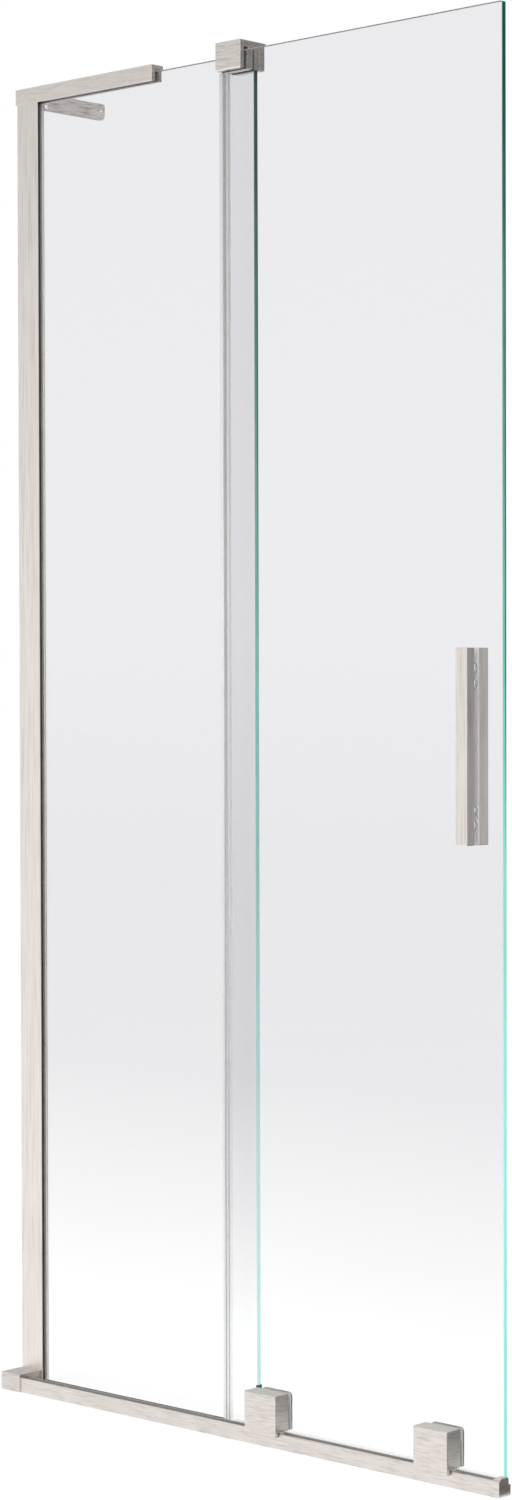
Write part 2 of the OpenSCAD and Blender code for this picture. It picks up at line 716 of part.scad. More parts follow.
// Soft pads on both faces of the pane, each with collars that line half of the clamp holes
module clamp_pads(i) {
    collar = glass_t / 2 - 0.1;
    color([0.75, 0.77, 0.77]) for (s = [-1, 1]) {
        face = s < 0 ? y_door_front : y_door_back;
        outer = face + s * pad_t;
        difference() {
            union() {
                along_y(min(face, outer), max(face, outer)) intersection() {
                    plate_outline(carriage_x[i]);
                    polygon(rounded([carriage_x[i] - carriage_w, s < 0 ? carriage_z0 : plate_z0],
                        [carriage_x[i] + carriage_w, carriage_top - over],
                        [sharp_r, sharp_r, sharp_r, sharp_r]));
                }
                for (x = clamp_x[i])
                    rod_y(x, clamp_z, min(outer, face - s * collar), max(outer, face - s * collar),
                        clamp_hole_r - 0.15);
            }
            for (x = clamp_x[i])
                rod_y(x, clamp_z, y_door_front - 2 * over, y_door_back + 2 * over, clamp_screw_r + loose);
        }
    }
}

module clamp_screws() {
    back = plate_y0 + plate_t;
    color([0.60, 0.60, 0.60]) for (pair = clamp_x, x = pair) difference() {
        union() {
            rod_y(x, clamp_z, y_carriage_back - screw_depth, back - 0.2, clamp_screw_r);
            cone_y(x, clamp_z, back - head_h, back - 0.2, clamp_screw_r, clamp_screw_r + head_h - 0.3);
        }
        rod_y(x, clamp_z, back - 2, back + over, large_socket_r);
    }
}

// Plastic frame under a carriage, with tabs that run in the groove and meet the travel stops
module guide_shoe(c) {
    plate_bottom = carriage_z0 - 1.6;
    tab_bottom = bead_z + 0.6;
    color([0.62, 0.62, 0.60]) {
        along_z(plate_bottom, carriage_z0) difference() {
            polygon([[c - shoe_x, y_rail - apron_gap + 0.2], [c + shoe_x, y_rail - apron_gap + 0.2],
                [c + shoe_x, y_door_front - seal_t - 1], [c - shoe_x, y_door_front - seal_t - 1]]);
            polygon([[c - well_x, y_track - well_half], [c + well_x, y_track - well_half],
                [c + well_x, y_track + well_half], [c - well_x, y_track + well_half]]);
        }
        for (x0 = [c - shoe_x, c + shoe_x - tab_len]) along_x(x0, x0 + tab_len)
            polygon(concat([[y_track + tab_half, tab_bottom], [y_track + tab_half, carriage_z0],
                [y_track - tab_half, carriage_z0], [y_track - tab_half, tab_bottom]],
                arc([y_track, bead_z], bead_r + 0.6, 167, 13)));
    }
}

module axles() {
    color([0.62, 0.62, 0.62]) for (x = wheel_x) rod_y(x, axle_z, axle_y0, axle_y1, axle_r);
}

module axle_spacers() {
    w = well_half - bearing_w / 2 - 0.3;
    color([0.70, 0.70, 0.70]) for (x = wheel_x) {
        ring_y(x, axle_z, y_track - well_half, y_track - well_half + w, axle_r + snug, axle_r + 1.6);
        ring_y(x, axle_z, y_track + well_half - w, y_track + well_half, axle_r + snug, axle_r + 1.6);
    }
}

// Plastic tyre with a round groove in its rim
module wheel(i) {
    half = wheel_w / 2;
    groove_r = bead_r + bead_gap;
    a = acos((groove_r - wheel_groove) / groove_r);
    color([0.88, 0.88, 0.85]) translate([wheel_x[i], y_track, axle_z]) rotate([-90, 0, 0]) rotate_extrude()
        polygon(concat(
            [[bearing_r + snug, -half], [wheel_r - 0.5, -half], [wheel_r, -half + 0.5]],
            arc([rim_r + groove_r, 0], groove_r, 180 + a, 180 - a),
            [[wheel_r, half - 0.5], [wheel_r - 0.5, half], [bearing_r + snug, half]]));
}

// Ball bearing: two races with shields between them
module bearing(i) {
    half = bearing_w / 2;
    bore = axle_r + axle_gap;
    race = 1.4;
    color([0.72, 0.72, 0.72]) translate([wheel_x[i], y_track, axle_z]) rotate([-90, 0, 0]) rotate_extrude()
        polygon([[bore, -half], [bore + race, -half], [bore + race, -half + 0.4],
            [bearing_r - race, -half + 0.4], [bearing_r - race, -half], [bearing_r, -half],
            [bearing_r, half], [bearing_r - race, half], [bearing_r - race, half - 0.4],
            [bore + race, half - 0.4], [bore + race, half], [bore, half]]);
}

front_bar_y = y_door_front - washer_t;
rear_bar_y = y_door_back + washer_t;
stud_r = 3;
stud_depth = 9;
set_screw_r = 2;

// Handle bar from y0 to y1 with blind holes for the studs
module handle_bar(y0, y1, mouth) {
    z0 = handle_z - handle_len / 2;
    z1 = handle_z + handle_len / 2;
    difference() {
        intersection() {
            along_z(z0, z1)
                polygon(rounded([handle_x0, y0], [handle_x0 + handle_w, y1], [1, 1, 1, 1] * edge_r));
            along_y(y0 - over, y1 + over)
                polygon(rounded([handle_x0, z0], [handle_x0 + handle_w, z1], [1, 1, 1, 1] * fine_r));
        }
        for (z = fixing_z) rod_y(handle_x, z, mouth - stud_depth, mouth + stud_depth, stud_r + snug);
    }
}

module handle_front() {
    color([0.80, 0.77, 0.74]) handle_bar(front_bar_y - handle_front_d, front_bar_y, front_bar_y);
}

module handle_rear() {
    color([0.80, 0.77, 0.74]) difference() {
        handle_bar(rear_bar_y, rear_bar_y + handle_rear_d, rear_bar_y);
        for (z = [fixing_z[0], fixing_z[2]]) translate([handle_x0 - over, rear_bar_y + stud_depth / 2, z])
            rotate([0, 90, 0]) cylinder(r = set_screw_r, h = handle_w / 2);
    }
}

module handle_spacers() {
    color([0.65, 0.65, 0.65]) for (z = fixing_z)
        ring_y(handle_x, z, front_bar_y, rear_bar_y, stud_r + snug, spacer_r);
}

module handle_studs() {
    color([0.60, 0.60, 0.60]) for (z = fixing_z)
        rod_y(handle_x, z, front_bar_y - stud_depth + 0.5, rear_bar_y + stud_depth - 0.5, stud_r);
}

module handle_washers() {
    color([0.85, 0.87, 0.87]) for (z = fixing_z) {
        ring_y(handle_x, z, front_bar_y, y_door_front, spacer_r + loose / 2, handle_w / 2 - 0.5);
        ring_y(handle_x, z, y_door_back, rear_bar_y, spacer_r + loose / 2, handle_w / 2 - 0.5);
    }
}

module handle_screws() {
    color([0.60, 0.60, 0.60]) for (z = [fixing_z[0], fixing_z[2]])
        translate([handle_x0 + 0.4, rear_bar_y + stud_depth / 2, z]) rotate([0, 90, 0]) difference() {
            cylinder(r = set_screw_r - snug, h = handle_w / 2 - 0.4 - stud_r - loose);
            translate([0, 0, -over]) cylinder(r = 1, h = 2.5);
        }
}

wall_profile();
wall_gasket();
wall_wedge();
fixed_glass();
fixed_seat();
pane_bumper();
cap_rail();
cap_gasket();
cap_screws();
wall_bracket();
bracket_screws();
guide_block();
guide_gasket();
guide_pad();
guide_liner();
guide_screws();
end_block();
bottom_rail();
rail_track();
travel_stops();
rail_end_cap();
door_glass();
door_seal();
door_sweep();
carriage(carriage_x[0]);  // carriage_left
carriage(carriage_x[1]);  // carriage_right
clamp_plate(0);  // clamp_plate_left
clamp_plate(1);  // clamp_plate_right
clamp_pads(0);  // clamp_pads_left
clamp_pads(1);  // clamp_pads_right
clamp_screws();
guide_shoe(carriage_x[0]);  // guide_shoe_left
guide_shoe(carriage_x[1]);  // guide_shoe_right
axles();
axle_spacers();
handle_front();
handle_rear();
handle_spacers();
handle_studs();
handle_washers();
handle_screws();
wheel(0);  // wheel_1
wheel(1);  // wheel_2
wheel(2);  // wheel_3
wheel(3);  // wheel_4
bearing(0);  // bearing_1
bearing(1);  // bearing_2
bearing(2);  // bearing_3
bearing(3);  // bearing_4
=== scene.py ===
"""Looks of a sliding shower screen: brushed nickel fittings, two clear panes and their seals.

The settings come first, then the materials, the shapes that replace plain ones of the CAD model,
and an operator for the stage and for each group of pieces. Lengths are in metres, and colours
are linear red, green and blue.
"""
import math

import bmesh
import bpy
from bpy.props import FloatProperty, FloatVectorProperty, PointerProperty
from bpy.types import Operator, Panel, PropertyGroup
from mathutils import Matrix, Vector


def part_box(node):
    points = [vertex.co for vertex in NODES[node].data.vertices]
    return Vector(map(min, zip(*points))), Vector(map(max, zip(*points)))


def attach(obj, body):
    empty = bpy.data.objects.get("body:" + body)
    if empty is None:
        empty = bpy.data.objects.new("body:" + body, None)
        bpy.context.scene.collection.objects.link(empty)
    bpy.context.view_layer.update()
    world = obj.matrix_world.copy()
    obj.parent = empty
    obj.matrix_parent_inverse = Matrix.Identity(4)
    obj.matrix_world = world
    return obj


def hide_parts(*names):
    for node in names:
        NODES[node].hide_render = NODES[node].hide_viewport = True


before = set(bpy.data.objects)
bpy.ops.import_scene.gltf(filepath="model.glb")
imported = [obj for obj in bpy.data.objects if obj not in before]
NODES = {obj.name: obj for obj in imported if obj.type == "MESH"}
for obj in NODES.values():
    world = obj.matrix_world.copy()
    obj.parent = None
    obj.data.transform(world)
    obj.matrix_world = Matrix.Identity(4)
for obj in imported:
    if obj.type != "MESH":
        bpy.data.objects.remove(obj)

bl_info = {
    "name": "Sliding Shower Screen",
    "version": (1, 0, 0),
    "blender": (4, 5, 0),
    "location": "View3D > Sidebar > Shower Screen",
    "description": "Dresses a packed sliding shower screen in brushed nickel, glass and seals",
    "category": "Object",
}

MM = 0.001
SCREEN_HEIGHT = 2.0
WHITE = (1, 1, 1)


# ---- What each CAD node is made of ----

# Nickel blocks by the floor: node, brightness (below 1 a dimmer copy of the nickel, as painted
# shade), contrast of the grain, and how many times wider than the usual its broken edges are
LOWER_BLOCKS = (
    ("end_block", 0.93, 1.2, 1.0),
    ("rail_end_cap", 1.0, 1.0, 1.0),
    ("carriage_left", 1.0, 1.0, 2.0),
    ("carriage_right", 1.0, 1.0, 2.0),
)
CLAMP_PLATES = ("clamp_plate_left", "clamp_plate_right")
HANDLE = ("handle_front", "handle_rear")
HANDLE_METALLIC = (1.0, 0.75)  # the rear bar is duller
STEELS = ("rail_track", "axles", "axle_spacers", "handle_spacers", "handle_studs",
          "bearing_1", "bearing_2", "bearing_3", "bearing_4")
RUBBERS = ("wall_gasket", "guide_gasket", "pane_bumper")

# Clear and milky plastics: material, alpha, dark and light colour, nodes
CLEAR_SEALS = (
    ("seal_thin", 0.08, (0.60, 0.61, 0.62), (0.80, 0.80, 0.80), ("door_sweep",)),
    ("seal_soft", 0.9, (0.72, 0.72, 0.71), (0.84, 0.84, 0.83),
     ("handle_washers", "clamp_pads_left", "clamp_pads_right")),
    # The cap gasket's dark grey is painted shade inside the cap rail
    ("seal_cap_painted_shade", 1.0, (0.16, 0.155, 0.15), (0.24, 0.235, 0.23), ("cap_gasket",)),
)

# Moulded rubbers and plastics: material, dark and light colour, roughness, nodes
MOULDED_SEALS = (
    # The wall wedge's near-white grey is painted light in the shade beside the pane
    ("rubber_grey_painted_light", (0.78, 0.77, 0.72), (0.88, 0.87, 0.82), 0.6, ("wall_wedge",)),
    ("rubber_stops", (0.20, 0.19, 0.18), (0.26, 0.25, 0.24), 0.6, ("travel_stops", "fixed_seat")),
)
MOULDED_GEAR = (
    ("plastic_white", (0.74, 0.74, 0.71), (0.82, 0.82, 0.79), 0.4,
     ("wheel_1", "wheel_2", "wheel_3", "wheel_4")),
    ("plastic_grey", (0.36, 0.355, 0.34), (0.44, 0.435, 0.42), 0.45,
     ("guide_shoe_left", "guide_shoe_right")),
    ("plastic_smoked", (0.16, 0.15, 0.14), (0.21, 0.195, 0.18), 0.5,
     ("guide_liner", "guide_pad")),
)


# ---- Settings ----

class NickelSettings(PropertyGroup):
    """Brushed nickel of the fittings."""
    light: FloatVectorProperty(
        name="Light grain", description="Colour of the nickel between the brush lines",
        subtype="COLOR", size=3, min=0, max=1, default=(0.90, 0.845, 0.805))
    dark: FloatVectorProperty(
        name="Dark grain", description="Colour of the nickel in the brush lines",
        subtype="COLOR", size=3, min=0, max=1, default=(0.56, 0.51, 0.475))
    pitch: FloatProperty(
        name="Grain pitch", description="Distance from one brush line to the next",
        unit="LENGTH", min=0.0002, max=0.01, default=0.0019)
    stroke: FloatProperty(
        name="Grain length", description="Length of one brush line",
        unit="LENGTH", min=0.002, max=0.2, default=0.03)
    # The handle and the lower fittings get dimmer copies of the same nickel: painted shade
    handle: FloatProperty(
        name="Handle", description="Brightness of the handle beside the upper fittings",
        min=0.5, max=1.2, default=0.96)
    lower: FloatProperty(
        name="Lower fittings",
        description="Brightness of the rail and carriages beside the upper fittings",
        min=0.5, max=1.2, default=0.9)
    edge: FloatProperty(
        name="Broken edge", description="Width of the broken edges of the metal parts",
        unit="LENGTH", min=0.0, max=0.002, default=0.001)


class GlassSettings(PropertyGroup):
    """Clear float glass of both panes."""
    # The tint greys away from the floor: painted shade over the glass's own slight grey
    upper: FloatVectorProperty(
        name="Upper glass", description="Tint of the panes at the top",
        subtype="COLOR", size=3, min=0, max=1, default=(0.84, 0.84, 0.857))
    middle: FloatVectorProperty(
        name="Middle glass", description="Tint of the panes below the handle",
        subtype="COLOR", size=3, min=0, max=1, default=(0.805, 0.805, 0.82))
    lower: FloatVectorProperty(
        name="Lower glass", description="Tint of the panes near the floor",
        subtype="COLOR", size=3, min=0, max=1, default=(0.995, 0.998, 0.998))
    # The edges' green is the glass's own; their darkness at the top and brightness near the floor
    # are painted shade and painted light
    edge_top: FloatVectorProperty(
        name="Edge at the top", description="Colour of the ground edges at the top of the panes",
        subtype="COLOR", size=3, min=0, max=1, default=(0.008, 0.05, 0.042))
    edge_middle: FloatVectorProperty(
        name="Edge in the middle", description="Colour of the ground edges half way up",
        subtype="COLOR", size=3, min=0, max=1, default=(0.18, 0.50, 0.43))
    edge_floor: FloatVectorProperty(
        name="Edge at the floor", description="Colour of the door's ground edge near the floor",
        subtype="COLOR", size=3, min=0, max=1, default=(0.34, 0.86, 0.79))
    edge_fixed: FloatVectorProperty(
        name="Fixed edge at the floor",
        description="Colour of the fixed pane's ground edge near the floor",
        subtype="COLOR", size=3, min=0, max=1, default=(0.62, 1.0, 1.0))
    arris: FloatProperty(
        name="Arris", description="Width of the ground arris along the edges",
        unit="LENGTH", min=0.0001, max=0.002, default=0.0007)
    # The arris is bright near the floor and dark at the top: painted light and painted shade
    frost: FloatVectorProperty(
        name="Frosted arris", description="Colour of the ground arris near the floor",
        subtype="COLOR", size=3, min=0, max=1, default=(0.80, 1.0, 0.97))
    frost_top: FloatVectorProperty(
        name="Arris at the top", description="Colour of the ground arris at the top of the panes",
        subtype="COLOR", size=3, min=0, max=1, default=(0.03, 0.13, 0.11))
    top_edge: FloatVectorProperty(
        name="Top edges", description="Colour of the upper edges of the panes",
        subtype="COLOR", size=3, min=0, max=1, default=(0.42, 0.42, 0.44))


class StageSettings(PropertyGroup):
    """Camera, floor and surroundings."""
    camera_place: FloatVectorProperty(
        name="Camera", description="Where the camera stands",
        subtype="TRANSLATION", unit="LENGTH", size=3, default=(3.62535, -3.31741, 1.07624))
    camera_turn: FloatVectorProperty(
        name="Camera turn", description="Heading, pitch and roll of the camera in degrees",
        size=3, default=(43.36, -1.12, -0.15))
    camera_lens: FloatProperty(
        name="Lens", description="Focal length for a 36 mm long side, in mm",
        min=20, max=400, default=76.187)
    floor_shade: FloatProperty(
        name="Floor", description="Share of the light that the floor sends back",
        min=0, max=1, default=0.2)
    surroundings: FloatVectorProperty(
        name="Surroundings", description="Colour and strength of the light from all around",
        subtype="COLOR", size=3, min=0, max=1, default=(0.78, 0.79, 0.80))


# ---- Nodes of a material ----

NOISE_LOW, NOISE_HIGH = 0.3, 0.7  # noise seldom leaves this range
# Places of the mix node's sockets, several of which have the same name
MIX_FACTOR, MIX_A, MIX_B, MIX_RESULT = 0, 2, 3, 0
MIX_COLOUR_A, MIX_COLOUR_B, MIX_COLOUR_RESULT = 6, 7, 2


class Finish:
    """A new material with one Principled shader, and short ways to add the nodes that drive it."""

    def __init__(self, name, roughness=0.5, metallic=0.0, colour=(0.8, 0.8, 0.8)):
        self.material = bpy.data.materials.new(name)
        self.material.use_nodes = True
        self.tree = self.material.node_tree
        self.shader = self.tree.nodes["Principled BSDF"]
        self.set("Roughness", roughness)
        self.set("Metallic", metallic)
        self.set("Base Color", (*colour, 1))
        self.material.diffuse_color = (*colour, 1)

    def set(self, socket, value):
        """Give a socket of the shader one value for the whole surface."""
        self.shader.inputs[socket].default_value = value

    def drive(self, socket, output):
        """Let an output drive a socket of the shader."""
        self.link(output, self.shader.inputs[socket])

    def surface(self, output):
        """Make an output the whole surface in place of the shader alone."""
        self.link(output, self.tree.nodes["Material Output"].inputs["Surface"])

    def node(self, kind, **values):
        """A new node with some of its properties set."""
        made = self.tree.nodes.new(kind)
        for name, value in values.items():
            setattr(made, name, value)
        return made

    def link(self, out, into):
        """Join an output to an input."""
        self.tree.links.new(out, into)

    def feed(self, value, into):
        """Join an output to an input, or write a number into it."""
        if isinstance(value, (int, float)):
            into.default_value = value
        else:
            self.link(value, into)

    def place(self, scale):
        """Object coordinates, scaled."""
        coordinates = self.node("ShaderNodeTexCoord")
        mapping = self.node("ShaderNodeMapping")
        mapping.inputs["Scale"].default_value = scale
        self.link(coordinates.outputs["Object"], mapping.inputs["Vector"])
        return mapping.outputs["Vector"]

    def split(self, vector):
        """The outputs X, Y and Z of a vector."""
        made = self.node("ShaderNodeSeparateXYZ")
        self.link(vector, made.inputs["Vector"])
        return made.outputs

    def along(self, axis):
        """Object coordinate X, Y or Z in metres."""
        return self.split(self.place((1, 1, 1)))[axis]

    def noise(self, scale, detail=2.0, roughness=0.5):
        """Noise from 0 to 1 whose pattern repeats about scale times in a metre, for each axis."""
        made = self.node("ShaderNodeTexNoise")
        made.inputs["Scale"].default_value = 1.0
        made.inputs["Detail"].default_value = detail
        made.inputs["Roughness"].default_value = roughness
        self.link(self.place(scale), made.inputs["Vector"])
        return made.outputs["Fac"]

    def spread(self, value, low, high, out_low=0.0, out_high=1.0):
        """What lies between low and high, laid out from out_low to out_high and held there."""
        made = self.node("ShaderNodeMapRange")
        made.inputs["From Min"].default_value = low
        made.inputs["From Max"].default_value = high
        made.inputs["To Min"].default_value = out_low
        made.inputs["To Max"].default_value = out_high
        self.link(value, made.inputs["Value"])
        return made.outputs["Result"]

    def widen(self, noise, out_low=0.0, out_high=1.0):
        """Noise laid out over the whole way from out_low to out_high."""
        return self.spread(noise, NOISE_LOW, NOISE_HIGH, out_low, out_high)

    def height(self, low, high):
        """Height above the floor as 0 to 1, from low to high."""
        return self.spread(self.along("Z"), low, high)

    def maths(self, operation, *values):
        """Result of an operation on outputs or numbers."""
        made = self.node("ShaderNodeMath", operation=operation)
        for value, into in zip(values, made.inputs):
            self.feed(value, into)
        return made.outputs[0]

    def mix(self, factor, a, b):
        """Numbers or outputs a and b, mixed by the output factor."""
        made = self.node("ShaderNodeMix", data_type="FLOAT")
        self.link(factor, made.inputs[MIX_FACTOR])
        self.feed(a, made.inputs[MIX_A])
        self.feed(b, made.inputs[MIX_B])
        return made.outputs[MIX_RESULT]

    def mix_colour(self, factor, a, b):
        """Output a and the plain colour b, mixed by the output factor."""
        made = self.node("ShaderNodeMix", data_type="RGBA")
        self.link(factor, made.inputs[MIX_FACTOR])
        self.link(a, made.inputs[MIX_COLOUR_A])
        made.inputs[MIX_COLOUR_B].default_value = (*b, 1)
        return made.outputs[MIX_COLOUR_RESULT]

    def ramp(self, value, *stops):
        """Colours at places from 0 to 1."""
        made = self.node("ShaderNodeValToRGB")
        elements = made.color_ramp.elements
        while len(elements) < len(stops):
            elements.new(0.5)
        for element, (place, colour) in zip(elements, stops):
            element.position = place
            element.color = (*colour, 1)
        self.link(value, made.inputs["Fac"])
        return made.outputs["Color"]

    def bump(self, value, distance, strength, normal=None):
        """Bumps as deep as distance, on top of the output normal where one is given."""
        made = self.node("ShaderNodeBump")
        made.inputs["Strength"].default_value = strength
        made.inputs["Distance"].default_value = distance
        self.link(value, made.inputs["Height"])
        if normal:
            self.link(normal, made.inputs["Normal"])
        self.drive("Normal", made.outputs["Normal"])


# ---- Nickel ----

LEVEL_TILT = (0.65, 0.75)  # Z of a normal from which a surface starts to be level, and is so
LIGHT_SHARE = 0.72  # share of the light colour in the mean, which contrast leaves as it is
UPRIGHT_STROKE = 3  # how many times longer the brush lines are on the uprights
GRAIN_ROUGHNESS = 0.6
# Layers of brush lines: how much finer they are, detail, from and to which noise they count, share
GRAIN = ((1, 3.0, 0.34, 0.52, 0.5), (2.4, 3.0, 0.3, 0.6, 0.35), (0.25, 1.0, 0.3, 0.65, 0.15))
FINE = 1  # the layer that the roughness follows
GRAIN_TOP = 0.95  # grain from which the nickel is light
# Painted highlight on the front edges: its colour, where it starts and is full, how it fades, and
# how far back it reaches
EDGE_HIGHLIGHT = (0.98, 0.95, 0.92)
HIGHLIGHT_STARTS, HIGHLIGHT_FULL = 0.998, 0.93  # cosine of the turn of the rounded normal from the flat one
HIGHLIGHT_FADE = 1 * MM  # way over which the painted edge highlight fades out at its limits
HIGHLIGHT_DEPTH = 3 * MM  # how far back from the front of a piece its edges get the painted highlight
NO_HIGHLIGHT = -1.0  # in front of every piece, so that no edge gets the painted highlight
# Unbrushed metal in the rail's groove, coloured dark there as painted shade, and on the handle's
# inner faces, coloured near-white there as painted light: how far it reaches past them, and its
# colour, metallic value and roughness
GROOVE_MARGIN, GROOVE_PAINTED_SHADE = 0.3 * MM, ((0.36, 0.34, 0.32), 0.2, 0.7)
INSIDE_MARGIN, INSIDE_PAINTED_LIGHT = 0.2 * MM, ((0.98, 0.96, 0.94), 0.0, 0.9)


def facing_up(finish):
    """1 where the surface faces up or down, and 0 on upright surfaces."""
    coordinates = finish.node("ShaderNodeTexCoord")
    tilt = finish.maths("ABSOLUTE", finish.split(coordinates.outputs["Normal"])["Z"])
    return finish.spread(tilt, *LEVEL_TILT)


def between(finish, low, high):
    """1 where Y lies between low and high."""
    return finish.maths("COMPARE", finish.along("Y"), (low + high) / 2, (high - low) / 2)


def front_highlight(node, width, low=0.0):
    """The width of a node's broken edges, and the limits that keep the painted highlight to the
    edges at its front.
    """
    return width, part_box(node)[0][1] + HIGHLIGHT_DEPTH, low


def rounded_edges_and_highlight(finish, colour, width, front, low):
    """Normals rounded over width along the edges, and a painted highlight: colour made bright on
    some of the edges.

    The painted highlight lies on the edges with Y below front and Z above low.
    """
    rounded = finish.node("ShaderNodeBevel", samples=8)
    rounded.inputs["Radius"].default_value = width
    flat = finish.node("ShaderNodeNewGeometry")
    turned = finish.node("ShaderNodeVectorMath", operation="DOT_PRODUCT")
    finish.link(rounded.outputs["Normal"], turned.inputs[0])
    finish.link(flat.outputs["True Normal"], turned.inputs[1])
    # Painted highlight: bright colour on the turning edges at the front, above low
    highlight_mask = finish.spread(finish.noise((120, 120, 120), 3.0), 0.3, 0.6, 0.6, 1.0)
    limits = (finish.spread(turned.outputs["Value"], HIGHLIGHT_STARTS, HIGHLIGHT_FULL),
              finish.spread(finish.along("Y"), front, front - HIGHLIGHT_FADE),
              finish.spread(finish.along("Z"), low, low + HIGHLIGHT_FADE))
    for limit in limits:
        highlight_mask = finish.maths("MULTIPLY", highlight_mask, limit)
    return rounded.outputs["Normal"], finish.mix_colour(highlight_mask, colour, EDGE_HIGHLIGHT)


def brushed_nickel(name, nickel, upright=False, shade=1.0, contrast=1.0, metallic=1.0,
                   roughness=0.34, bare=None, edge=None):
    """Brushed nickel. Its lines run level, or up and down where upright is true.

    bare gives two Y values between which the metal is left unbrushed, and its colour, metallic
    value and roughness there; that colour is painted shade in the rail's groove and painted light
    on the handle's inner faces. edge is what front_highlight gives; without it no edge gets the
    painted highlight.
    """
    light = [c * shade for c in nickel.light]
    dark = [c * shade for c in nickel.dark]
    mean = [LIGHT_SHARE * a + (1 - LIGHT_SHARE) * b for a, b in zip(light, dark)]
    light, dark = ([m + contrast * (c - m) for m, c in zip(mean, tone)] for tone in (light, dark))
    finish = Finish(name, roughness=roughness, metallic=metallic, colour=light)
    across, along = 1 / nickel.pitch, 1 / nickel.stroke
    flat = None if upright else facing_up(finish)

    def streaks(finer, detail):
        """Noise drawn out along the brush lines, so many times finer than the main lines."""
        thin = across * finer
        if upright:
            return finish.noise((thin, thin, along / UPRIGHT_STROKE), detail, GRAIN_ROUGHNESS)
        level = finish.noise((along, along, thin), detail, GRAIN_ROUGHNESS)
        return finish.mix(flat, level, finish.noise((along, thin, along), detail, GRAIN_ROUGHNESS))

    layers = [streaks(finer, detail) for finer, detail, *_ in GRAIN]
    parts = [finish.spread(layer, low, high, 0, share)
             for layer, (*_, low, high, share) in zip(layers, GRAIN)]
    grain = parts[0]
    for part in parts[1:]:
        grain = finish.maths("ADD", grain, part)
    colour = finish.ramp(grain, (0.0, dark), (GRAIN_TOP, light))
    rough = finish.spread(layers[FINE], 0.2, 0.8, roughness + 0.08, roughness - 0.06)
    # Painted shade in the rail's groove, painted light on the handle's inner faces
    if bare:
        low, high, tone, bare_metallic, bare_roughness = bare
        inner = between(finish, low, high)
        colour = finish.mix_colour(inner, colour, tone)
        rough = finish.mix(inner, rough, bare_roughness)
        finish.drive("Metallic", finish.mix(inner, metallic, bare_metallic))
    # Rounded normals on all broken edges; the painted highlight only where edge is given
    normal, colour = rounded_edges_and_highlight(finish, colour, *(edge or (nickel.edge, NO_HIGHLIGHT, 0.0)))
    finish.drive("Base Color", colour)
    finish.drive("Roughness", rough)
    finish.bump(grain, 0.03 * MM, 0.6, normal)
    return finish.material


# ---- Glass ----

GLASS_IOR = 1.33
GLASS_STOPS = (0.06, 0.15, 0.26, 0.40, 0.58)  # shares of the height where the tint changes, as painted shade away from the floor
SMEAR = 0.02  # how far the tint wanders up and down
COVERED_GLASS = (0.88, 0.89, 0.89)
COVERED_ALPHA = 0.12
PIT_SHADE = 0.94  # brightness of the pits of a ground edge
FROST_FADE = (0.1, 1.8)  # heights between which a ground arris takes its colour at the top, a painted shade
EDGE_STOPS = (0.20, 0.52, 0.92)  # shares of the height where the edge has its three colours: painted light near the floor, painted shade at the top
EDGE_WANDER = 0.03  # how far these colours wander up and down, as a share of the height
FIXED_GAIN = 1.3  # how much brighter the middle of the fixed pane's edge is, as painted light
REAR_LINE = (3.6 * MM, 2.8 * MM)  # from the back face, where the painted shade line starts and is full
REAR_SHADE_COLOUR = (0.01, 0.06, 0.05)
REAR_LINE_STRENGTH = 0.95
DOOR_LINE, FIXED_LINE = (0.8, 1.1), (1.1, 1.5)  # heights at which the painted shade line starts and is full
BLOCK_SHADE = (22 * MM, 12 * MM)  # under the guide block, where its shade starts and is full
BLOCK_SHADE_COLOUR = (0.006, 0.018, 0.015)
# Painted shade of the edge inside the guide block's slot
IN_BLOCK_SHADE_COLOUR = (0.20, 0.195, 0.18)
BLOCK_FADE = 0.5 * MM  # above and below the block's underside, where the edge changes


def glass_body(name, glass):
    """Clear glass, a little grey, with painted shade that greys it more away from the floor."""
    finish = Finish(name, roughness=0.0, colour=glass.upper)
    finish.set("Transmission Weight", 1.0)
    finish.set("IOR", GLASS_IOR)
    height = finish.mix(finish.noise((3, 3, 1.2)), finish.height(-SMEAR, SCREEN_HEIGHT - SMEAR),
                        finish.height(SMEAR, SCREEN_HEIGHT + SMEAR))
    half = [(a + b) / 2 for a, b in zip(glass.lower, glass.middle)]
    # Painted shade: the tint changes with height
    painted_tints = (glass.lower, half, glass.middle, glass.middle, glass.upper)
    finish.drive("Base Color", finish.ramp(height, *zip(GLASS_STOPS, painted_tints)))
    return finish.material


def frosted_edge(name, colour, alpha=1.0, top=None):
    """Ground or covered edge of a pane, with the fine pits of the grinding.

    top is its colour at the top of the pane, where that differs, as painted shade.
    """
    finish = Finish(name, roughness=0.5, colour=colour)
    finish.set("Alpha", alpha)
    pits = finish.widen(finish.noise((700, 700, 700)))
    ground = finish.ramp(pits, (0.0, [c * PIT_SHADE for c in colour]), (1.0, colour))
    # Painted shade towards the top of the pane
    if top:
        ground = finish.mix_colour(finish.height(*FROST_FADE), ground, top)
    finish.drive("Base Color", ground)
    finish.drive("Roughness", finish.spread(pits, 0, 1, 0.45, 0.6))
    finish.bump(pits, 0.02 * MM, 0.4)
    return finish.material


